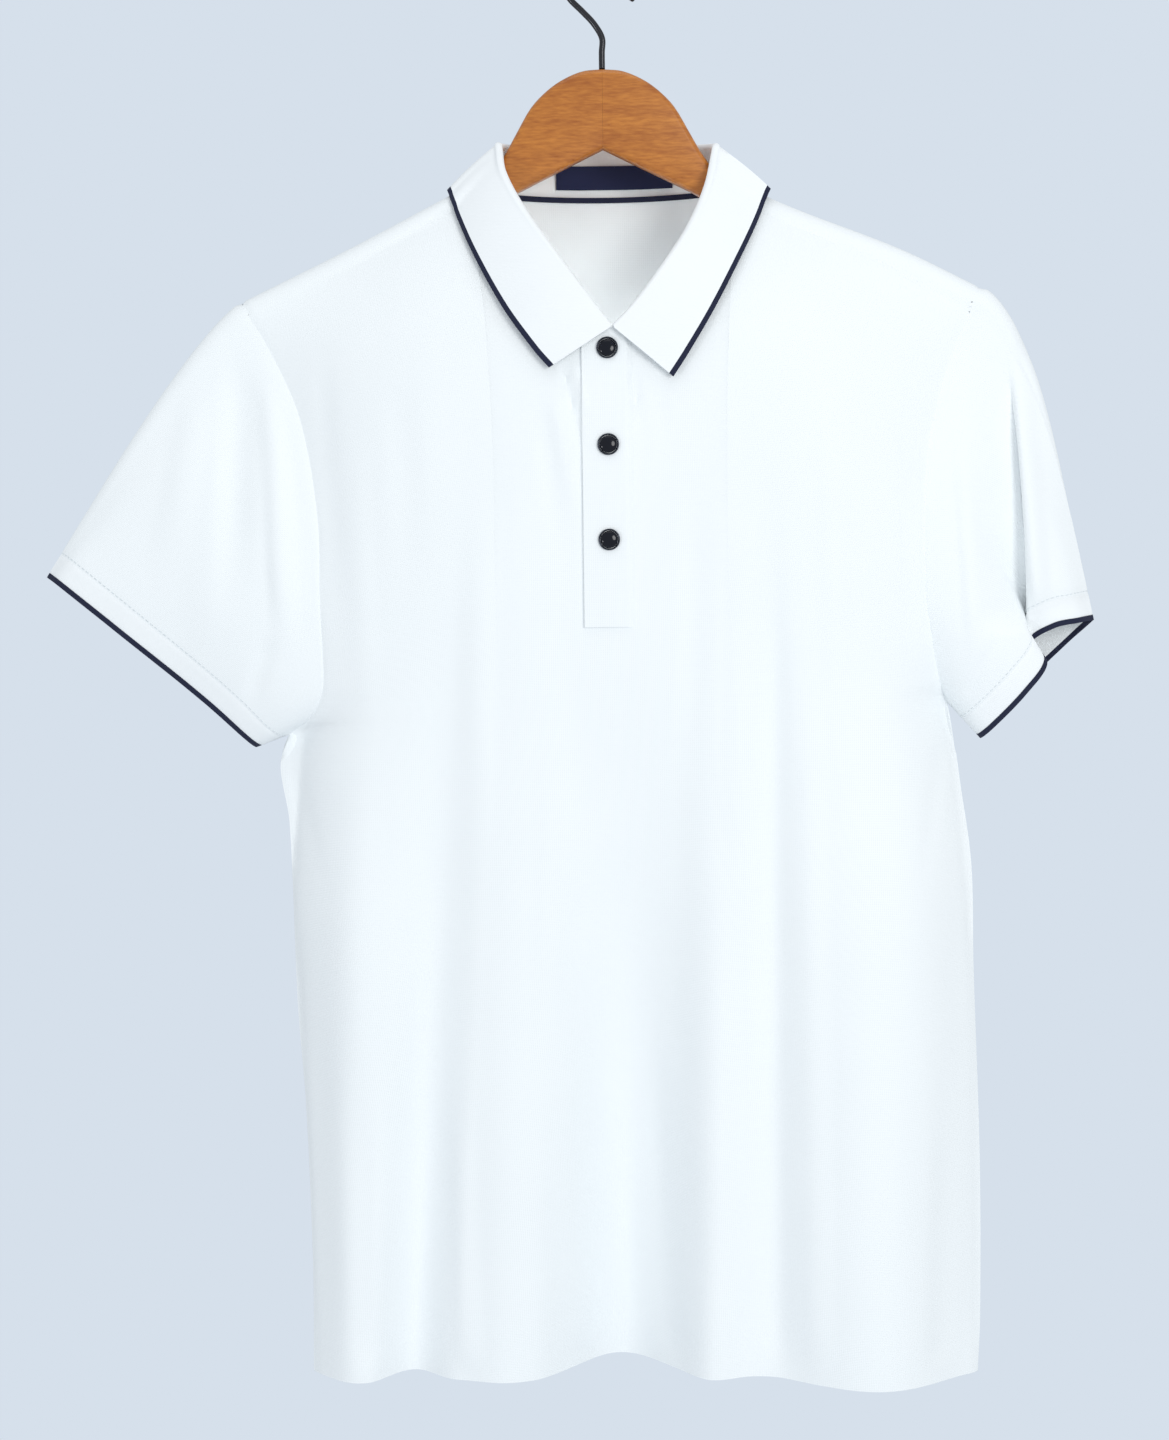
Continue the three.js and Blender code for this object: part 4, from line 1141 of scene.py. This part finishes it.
@lru_cache(None)
def collar_section(side, angle):
    """Neck seam, fold and outer edge of the collar: angle runs from the centre front to 180 at the back."""
    on_front = angle <= 90
    neck_angle = 90 - angle if on_front else angle - 90
    sweep = math.radians(neck_angle)
    bow = math.sin(sweep)
    neck = neckline_point(FRONT if on_front else BACK, side, NECK_HALF * math.cos(sweep))
    if not on_front:
        last = side.collar[-1]
        turned = math.cos(sweep)
        edge_y = front_depth(last["edge_x"], last["edge_z"]) / 4
        fold = Vector((
            last["fold_x"] * turned,
            mix(last["fold_y"], COLLAR_BACK["fold_y"], bow),
            mix(last["fold_z"], COLLAR_BACK["fold_z"], bow),
        ))
        edge = Vector((
            last["edge_x"] * turned,
            mix(edge_y, COLLAR_BACK["edge_y"], bow),
            mix(last["edge_z"], COLLAR_BACK["edge_z"], 1 - turned),
        ))
        return neck, fold, edge
    fold_x, fold_y, fold_z, edge_x, edge_z = (
        read(side.collar, "angle", neck_angle, column) for column in COLLAR.split()[1:]
    )
    flat = front_depth(edge_x, edge_z) - COLLAR_OVER_FRONT * bow**0.25
    edge = Vector((edge_x, flat / 4 if neck_angle == 0 else flat, edge_z))
    return neck, Vector((fold_x, fold_y, fold_z)), edge


def collar_point(side, angle, part):
    """A point of the collar: part 0 is the neck seam, 3 the fold and 6 the outer edge."""
    neck, fold, edge = collar_section(side, angle)
    inward = Vector((-fold.x, -fold.y, 0)).normalized()
    rise = Vector((-neck.x / NECK_HALF, 0, 1)).normalized()
    down = Vector((0, 0, -FOLD_HALF))
    seat = neck + rise * COLLAR_SEAM_LIFT
    fold_in = fold + inward * FOLD_HALF + down
    fold_out = fold - inward * FOLD_HALF + down
    if part > 4:
        share = (part - 4) / 2
        return fold_out.lerp(edge, share) - inward * (COLLAR_HOLLOW * share * (1 - share))
    if part >= 2:
        bend = math.pi * (part - 2) / 2
        round_fold = fold + down + inward * (FOLD_HALF * math.cos(bend))
        return round_fold + Vector((0, 0, FOLD_HALF * math.sin(bend)))
    return seat.lerp(fold_in, part / 2)


def collar_stations():
    """Sections round the collar from the wearer's right leaf round the back to the left one."""
    steps = int(110 * FINE)
    right_start = 90 - RIGHT_COLLAR[0]["angle"]
    left_start = 90 - LEFT_COLLAR[0]["angle"]
    right = [(RIGHT, mix(right_start, 180, step / steps)) for step in range(steps + 1)]
    left = [(LEFT, mix(left_start, 180, step / steps)) for step in range(steps)]
    return right + list(reversed(left))


def tipping_part(side, angle):
    fall = (collar_point(side, angle, 4) - collar_point(side, angle, 6)).length
    return 6 - 2 * TIPPING / fall


def make_collar():
    stations = collar_stations()
    lasts = [tipping_part(side, angle) for side, angle in stations]

    def row_between(starts, ends, share):
        parts = [mix(start, end, share) for start, end in zip(starts, ends)]
        return [collar_point(side, angle, part) for (side, angle), part in zip(stations, parts)]

    stand_and_fold = [part / 4 for part in range(8)] + [2 + part / 5 for part in range(10)]
    points = [[collar_point(side, angle, part) for side, angle in stations] for part in stand_and_fold]
    points += [row_between([4] * len(lasts), lasts, step / 14) for step in range(15)]
    cut_size = {"flat": (0.42, 0.075), "held": "folded"}
    cloth_piece("collar_rib", "collar", "rib", points, RIB, cut_size, seam=0)
    edge = [row_between(lasts, [6] * len(lasts), share) for share in (0, 0.34, 0.67, 1)]
    cloth_piece("collar_edge", "collar_tipping", "tipping", edge, NAVY, seam=0)


# Neck tape and label
def tape_point(angle, down):
    """A point of the tape, which bows round the back of the neck, at a distance below its top."""
    sweep = math.radians(angle)
    x, bow = -NECK_HALF * math.cos(sweep), math.sin(sweep)
    ridge_z = (RIGHT_RIDGE if x < 0 else LEFT_RIDGE)[0]["z"]
    z = mix(ridge_z, NECK_BACK_Z, bow) - (down - TAPE_RISE)
    return Vector((x * (1 - LAYER / NECK_HALF), NECK_BACK_Y * bow - LAYER, z))


def make_neck_tape():
    angles = [mix(*TAPE_ANGLES, step / 60) for step in range(61)]
    points = [[tape_point(angle, down) for angle in angles] for down in (0, TAPE_HEIGHT / 2, TAPE_HEIGHT)]
    cut_size = {"flat": (0.19, 0.01), "held": "folded", "area": 0.00085}
    cloth_piece("neck_tape_knit", "neck_tape", "tipping", points, NAVY, cut_size, wall=1, flip=True, seam=0)


def label_point(x, height):
    side = RIGHT if x < 0 else LEFT
    reach = mix(NECK_HALF, abs(side.collar[-1]["fold_x"]), height)
    angle = 180 - math.degrees(math.asin(abs(x) / reach))
    point = collar_point(side, angle, 0).lerp(collar_point(side, angle, 2), height)
    return Vector((x, point.y - LAYER - LABEL_GAP, point.z))


def make_label():
    xs = [mix(LABEL_FROM_X, LABEL_TO_X, step / 36) for step in range(37)]
    heights = [mix(LABEL_HIGH, LABEL_LOW, step / 8) for step in range(9)]
    points = [[label_point(x, height) for x in xs] for height in heights]
    cut_size = {"flat": (0.07, 0.017), "held": "hung"}
    thin = {"wall": 1, "flip": True, "seam": 0}
    cloth_piece("neck_label_woven", "neck_label", "label", points, DAMASK, cut_size, **thin)


# Snap buttons
def snap_seat(height):
    """Matrix that takes a snap's own axes, in millimetres, to its place on the placket in metres."""
    level = (NECK_FRONT_Z - height) / (NECK_FRONT_Z - ARMPIT_MIDDLE_Z)
    here = middle_point(FRONT, SNAP_X, level)
    above = middle_point(FRONT, SNAP_X, level - 0.02)
    tilt = math.atan((above.y - here.y) / (above.z - here.z))
    out = Vector((0, -math.cos(tilt), math.sin(tilt)))
    place = here + Vector((0, -(LAYER + CLOTH / 2 + SNAP_GAP), 0))
    turn = Vector((0, 0, 1)).rotation_difference(out).to_matrix().to_4x4()
    return Matrix.Translation(in_metres(place)) @ turn @ Matrix.Scale(0.001, 4)


def turned_piece(name, profile, seat, material, closed):
    """A piece turned on a lathe from a profile of radius and height."""
    maker = bmesh.new()
    verts = [maker.verts.new((radius, 0, height)) for radius, height in profile]
    edges = [maker.edges.new(pair) for pair in zip(verts, verts[1:] + verts[:1] if closed else verts[1:])]
    bmesh.ops.spin(
        maker, geom=verts + edges, cent=(0, 0, 0), axis=(0, 0, 1), angle=2 * math.pi, steps=56, use_merge=True
    )
    bmesh.ops.remove_doubles(maker, verts=maker.verts, dist=1e-4)
    bmesh.ops.recalc_face_normals(maker, faces=maker.faces)
    bmesh.ops.transform(maker, matrix=seat, verts=maker.verts)
    return add_object(name, maker, material)


def make_snap(number, height):
    seat = snap_seat(height)
    radius = SNAP_RADIUS - SNAP_RIM - SNAP_EASING
    dome = [(0, 0), (radius - SNAP_EASING, 0), (radius, SNAP_EASING)]
    for step in range(13):
        sweep = math.pi / 2 * step / 12
        dome.append((radius * math.cos(sweep), mix(SNAP_DOME_START, SNAP_RISE, math.sin(sweep))))
    cap = turned_piece(f"snap_{number}_dome", dome, seat, CAP, closed=False)
    finish_piece(cap, [f"snap_cap_{number}"])
    inner = SNAP_RADIUS - SNAP_RIM
    ring = []
    for step in range(14):
        sweep = math.pi * step / 13
        across = mix(inner, SNAP_RADIUS, 0.5 + 0.5 * math.cos(sweep))
        ring.append((across, mix(*SNAP_RIM_HEIGHTS, math.sin(sweep))))
    ring += [(inner, 0), (SNAP_RADIUS, 0)]
    rim = turned_piece(f"snap_{number}_rim", ring, seat, RIM, closed=True)
    finish_piece(rim, [f"snap_ring_{number}"])


# Hanger
ARM_TOP = rows(
    "x z",
    (0, -76),
    (12, -77.2),
    (24.6, -82.6),
    (34, -89.5),
    (42.3, -98.4),
    (50, -111.5),
    (57.3, -124.2),
    (65, -134.5),
    (ARM_HEAD, -150),
)
ARM_UNDER = rows("x z", (0, -121.9), (25, -134), (50.6, -146.5))


def arm_outline(side):
    """Outline of an arm from past the middle out along the top, round the tip and back underneath."""

    def ridge_top(x):
        return read(side.ridge, "x", side.sign * x, "z") - ARM_FROM_RIDGE

    head_xs = [ARM_HEAD * step / 32 for step in range(33)]
    head = [(x, read(ARM_TOP, "x", x, "z")) for x in head_xs]
    start = (ARM_UNDER_SHOULDER, ridge_top(ARM_UNDER_SHOULDER))
    top = [(-PAST_MITRE, head[0][1]), *head]
    top += [tuple(Vector(head[-1]).lerp(start, (x - ARM_HEAD) / (start[0] - ARM_HEAD))) for x in (84, 90)]
    top += [(x, ridge_top(x)) for x in range(ARM_UNDER_SHOULDER, ARM_REACH - ARM_TIP, 6)]
    tip_z = ridge_top(ARM_REACH) - ARM_DEPTH * 0.45
    for step in range(9):
        sweep = math.radians(mix(80, -95, step / 8))
        across = ARM_REACH - ARM_TIP + (ARM_TIP + 1) * math.cos(sweep)
        top.append((across, tip_z + ARM_DEPTH * 0.42 * math.sin(sweep)))
    inwards = range(ARM_REACH - 2 * ARM_TIP, ARM_UNDER_SHOULDER - 1, -8)
    under = [(x, ridge_top(x) - ARM_DEPTH) for x in inwards]
    notch_end = (ARM_UNDER[-1]["x"], ARM_UNDER[-1]["z"])
    under += [tuple(Vector(under[-1]).lerp(notch_end, step / 6)) for step in range(1, 6)]
    notch_xs = [notch_end[0] * (1 - step / 14) for step in range(15)]
    under += [(x, read(ARM_UNDER, "x", x, "z")) for x in notch_xs]
    return [*top, *under, (-PAST_MITRE, ARM_UNDER[0]["z"] + PAST_MITRE / 2)]


def round_edges(maker, edges, radius, segments):
    return bmesh.ops.bevel(
        maker, geom=edges, offset=radius * 0.001, segments=segments, profile=0.5, affect="EDGES",
        clamp_overlap=True, material=-1,
    )


def make_arm(side):
    maker = bmesh.new()
    half = ARM_THICKNESS / 2
    verts = [maker.verts.new(in_metres((side.sign * x, half, z))) for x, z in arm_outline(side)]
    back = maker.faces.new(verts)
    grown = bmesh.ops.extrude_face_region(maker, geom=[back])
    front = [part for part in grown["geom"] if isinstance(part, bmesh.types.BMVert)]
    bmesh.ops.translate(maker, vec=in_metres((0, -ARM_THICKNESS, 0)), verts=front)
    bmesh.ops.recalc_face_normals(maker, faces=maker.faces)
    rims = [edge for edge in maker.edges if abs(edge.verts[0].co.y - edge.verts[1].co.y) < 1e-6]
    round_edges(maker, rims, ARM_ROUNDING, 6)
    whole = [*maker.verts, *maker.edges, *maker.faces]
    mitre = in_metres((side.sign * MITRE_GAP / 2, 0, 0))
    cut = bmesh.ops.bisect_plane(
        maker, geom=whole, plane_co=mitre, plane_no=(-side.sign, 0, 0), clear_outer=True
    )
    cut_edges = [part for part in cut["geom_cut"] if isinstance(part, bmesh.types.BMEdge)]
    bmesh.ops.edgeloop_fill(maker, edges=cut_edges)
    bmesh.ops.recalc_face_normals(maker, faces=maker.faces)
    eased = round_edges(maker, cut_edges, MITRE_EASING, 1)
    for edge in eased["edges"]:
        edge.smooth = False
    bmesh.ops.triangulate(maker, faces=[face for face in maker.faces if len(face.verts) > 4])
    arm = add_object(f"arm_{side.name}_wood", maker, WOOD)
    finish_piece(arm, [f"hanger_arm_{side.name}"])


def hook_path():
    """Points of the wire's middle line: the stem, the offset bend and the open loop."""
    centre_z = HOOK_WIRE - HOOK_RADIUS
    marks = list(HOOK_STEM)
    for angle in HOOK_ANGLES:
        sweep = math.radians(angle)
        marks.append((HOOK_RADIUS * math.cos(sweep), centre_z + HOOK_RADIUS * math.sin(sweep)))
    path = []
    for index in range(len(marks) - 1):
        before, start, end, after = (
            Vector(marks[min(max(index + off, 0), len(marks) - 1)]) for off in (-1, 0, 1, 2)
        )
        for step in range(6):
            share = step / 6
            bend = (end - before) * (1 - share) - (after - start) * share
            path.append(start.lerp(end, ease(share)) + bend * (share * (1 - share) / 2))
    path.append(Vector(marks[-1]))
    return [Vector((x, 0, z)) for x, z in path]


def make_hook():
    """The wire hook: a ring of the wire's section carried along its middle line."""
    path = hook_path()
    maker = bmesh.new()
    ring = bmesh.ops.create_circle(maker, cap_ends=True, radius=HOOK_WIRE * 0.001, segments=20)["verts"]
    flat_ring = [vert.co.copy() for vert in ring]
    for index, middle in enumerate(path):
        ahead = path[min(index + 1, len(path) - 1)] - path[max(index - 1, 0)]
        if index > 0:
            edges = list({
                edge for vert in ring for edge in vert.link_edges if all(end in ring for end in edge.verts)
            })
            grown = bmesh.ops.extrude_edge_only(maker, edges=edges)
            fresh = [part for part in grown["geom"] if isinstance(part, bmesh.types.BMVert)]
            ring = nearest_order(ring, fresh)
        turn = Vector((0, 0, 1)).rotation_difference(ahead.normalized()).to_matrix()
        narrow = HOOK_TIP if index == len(path) - 1 else 1.0
        for vert, flat in zip(ring, flat_ring):
            vert.co = in_metres(middle) + turn @ (flat * narrow)
    maker.faces.new(ring)
    bmesh.ops.recalc_face_normals(maker, faces=maker.faces)
    hook = add_object("hook_wire", maker, WIRE)
    finish_piece(hook, ["hanger_hook"])


def nearest_order(ring, fresh):
    """The new vertices in the order of the ring that they were extruded from."""
    return [min(fresh, key=lambda other: (other.co - vert.co).length) for vert in ring]


# Sewing
def stitch_matrices(places, pitch, size):
    """Places of the stitches along a line of points and normals, in metres."""
    length, width, height = size
    matrices = []
    walked = 0.0
    due = pitch / 2
    for (start, start_normal), (end, end_normal) in zip(places, places[1:]):
        run = (end - start).length
        while run > 1e-6 and walked + run >= due:
            share = (due - walked) / run
            normal = start_normal.lerp(end_normal, share).normalized()
            along = (end - start).normalized()
            across = normal.cross(along).normalized()
            turn = Matrix((along * length / 2, across * width / 2, normal * height / 2)).transposed()
            matrices.append(Matrix.Translation(in_metres(start.lerp(end, share))) @ (turn * 0.001).to_4x4())
            due += pitch
        walked += run
    return matrices


def make_stitches(name, lines, material=SHADED_THREAD, stitch=BODY_STITCH):
    """Small rounded thread stitches along lines of points and normals."""
    maker = bmesh.new()
    for places in lines:
        for matrix in stitch_matrices(places, **stitch):
            bmesh.ops.create_icosphere(maker, subdivisions=1, radius=1, matrix=matrix)
    piece = add_object(name, maker, material)
    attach(piece, "root")


def cloth_named(name):
    return next(cloth for cloth in CLOTHS if cloth.name == name)


def inset_line(cloth, spots, way, inset):
    """Points and normals on a cloth's outside, a distance in from a line of its spots."""
    places = []
    for row, column in spots:
        walked = 0.0
        while True:
            ahead_row, ahead_column = row + way[0], column + way[1]
            here, ahead = cloth.points[row][column], cloth.points[ahead_row][ahead_column]
            run = (ahead - here).length
            if walked + run >= inset:
                break
            walked += run
            row, column = ahead_row, ahead_column
        share = (inset - walked) / run
        normal = cloth.normals[row][column].lerp(cloth.normals[ahead_row][ahead_column], share).normalized()
        places.append((here.lerp(ahead, share) + normal * (cloth.wall / 2 + THREAD_ABOVE), normal))
    return places


def line_across(cloth, row, columns, inset):
    """A line along the first or last row of a cloth, a distance in from it."""
    return inset_line(cloth, [(row, column) for column in columns], (1 if row == 0 else -1, 0), inset)


def line_down(cloth, column, spots, inset):
    """A line down the first or last column of a cloth, a distance in from it."""
    return inset_line(cloth, [(row, column) for row in spots], (0, 1 if column == 0 else -1), inset)


def make_body_stitches():
    front, back = cloth_named("shirt_front"), cloth_named("shirt_back")
    lines = []
    for cloth in (front, back):
        lines += [line_across(cloth, cloth.tall, range(cloth.wide + 1), inset) for inset in HEM_STITCHES]
        armpit_row = cloth.tall - LOWER_STEPS
        armhole = range(armpit_row - UPPER_STEPS + 4, armpit_row)
        lines += [line_down(cloth, column, armhole, SEAM_STITCH) for column in (0, cloth.wide)]
    lines.append(line_across(front, 0, range(2, OUTER_STEPS), SEAM_STITCH))
    lines.append(line_across(back, 0, range(back.wide - OUTER_STEPS + 1, back.wide - 1), SEAM_STITCH))
    make_stitches("body_stitches", lines)


def make_placket_stitches():
    strip = cloth_named("placket_upper")
    ends = range(1, strip.tall)
    lines = [line_down(strip, 0, ends, SEAM_STITCH), line_down(strip, strip.wide, ends, PLACKET_SEWN)]
    foot = range(1, strip.wide - 4)
    lines += [line_across(strip, strip.tall, foot, inset) for inset in (SEAM_STITCH, PLACKET_BOX)]
    make_stitches("placket_stitches", lines)


def make_sewing():
    make_body_stitches()
    make_placket_stitches()
    for side in (RIGHT, LEFT):
        sleeve = cloth_named(f"{side.name}_sleeve_cloth")
        line = line_across(sleeve, sleeve.tall, range(sleeve.wide + 1), SEAM_STITCH)
        make_stitches(f"{side.name}_cuff_stitches", [line])
    label = cloth_named("neck_label_woven")
    lines = [line_down(label, column, range(label.tall + 1), LABEL_STITCH) for column in (0, label.wide)]
    make_stitches("label_stitches", lines, NAVY, FINE_STITCH)


# Making the shirt and the hanger
make_front()
make_back()
make_placket("placket_lower", "placket_under", 0)
make_placket("placket_upper", "placket_top", LAYER)
make_sleeve(RIGHT)
make_sleeve(LEFT)
make_collar()
make_neck_tape()
make_label()
make_cloths()
make_sewing()
for snap_number, snap_height in enumerate(SNAP_HEIGHTS, 1):
    make_snap(snap_number, snap_height)
make_arm(RIGHT)
make_arm(LEFT)
make_hook()


# Studio
def make_floor():
    maker = bmesh.new()
    bmesh.ops.create_circle(maker, cap_ends=True, radius=FLOOR_RADIUS, segments=96)
    bmesh.ops.translate(maker, vec=(0, 0, FLOOR_Z), verts=maker.verts)
    material, tree = new_material("pale studio floor")
    cloud = cloudy(tree, node(tree, "ShaderNodeTexCoord").outputs["Object"], 1.2, 2.0)
    finished(material, Base_Color=blended(tree, cloud, (0.66, 0.71, 0.77), (0.70, 0.75, 0.80)), Roughness=0.9)
    add_object("studio_floor", maker, material, smooth=False)


def add_area_light(name, place, target, size, power, colour):
    light = bpy.data.lights.new(name, "AREA")
    light.shape = "DISK"
    light.size = size
    light.energy = power
    light.color = colour
    lamp = link_object(name, light)
    lamp.location = place
    lamp.visible_camera = False
    lamp.rotation_euler = (Vector(target) - Vector(place)).to_track_quat("-Z", "Y").to_euler()


def make_surroundings():
    world = bpy.data.worlds.new("pale studio")
    world.use_nodes = True
    tree = world.node_tree
    seen = fill(tree, tree.nodes["Background"], Color=(0.672, 0.745, 0.831, 1))
    lighting = node(tree, "ShaderNodeBackground", Color=(0.86, 0.91, 0.96, 1), Strength=0.7)
    path = node(tree, "ShaderNodeLightPath")
    either = node(tree, "ShaderNodeMixShader", _0=path.outputs["Is Camera Ray"])
    fill(tree, either, _1=lighting.outputs[0], _2=seen.outputs[0])
    fill(tree, tree.nodes["World Output"], Surface=either.outputs[0])
    bpy.context.scene.world = world
    middle = (0, 0, -0.45)
    add_area_light("key from the right", (1.2, -2.2, 0.0), middle, 1.1, 21.5, (1.0, 1.0, 0.98))
    add_area_light("fill from the left", (-1.7, -1.7, -0.9), middle, 0.4, 6.5, (0.96, 0.98, 1.0))
    add_area_light("light from above", (0, -0.6, 1.6), (0, 0, -0.4), 1.8, 6, (1.0, 1.0, 1.0))
    in_neck = (0, -0.034, -0.287)
    add_area_light("glow inside the neck", in_neck, (0, 0.04, -0.287), 0.1, 0.08, (0.98, 1.0, 1.0))


def make_camera():
    data = bpy.data.cameras.new("camera")
    data.lens = LENS
    data.sensor_width = 36
    data.clip_start = 0.05
    data.clip_end = 50
    camera = link_object("camera", data)
    tilt = Matrix.Rotation(math.radians(90 - TILT_DOWN), 4, "X")
    roll = Matrix.Rotation(math.radians(-ROLL), 4, "Z")
    camera.matrix_world = Matrix.Translation(in_metres(EYE)) @ tilt @ roll
    bpy.context.scene.camera = camera


make_floor()
make_surroundings()
make_camera()
bpy.context.scene.view_settings.view_transform = "Standard"
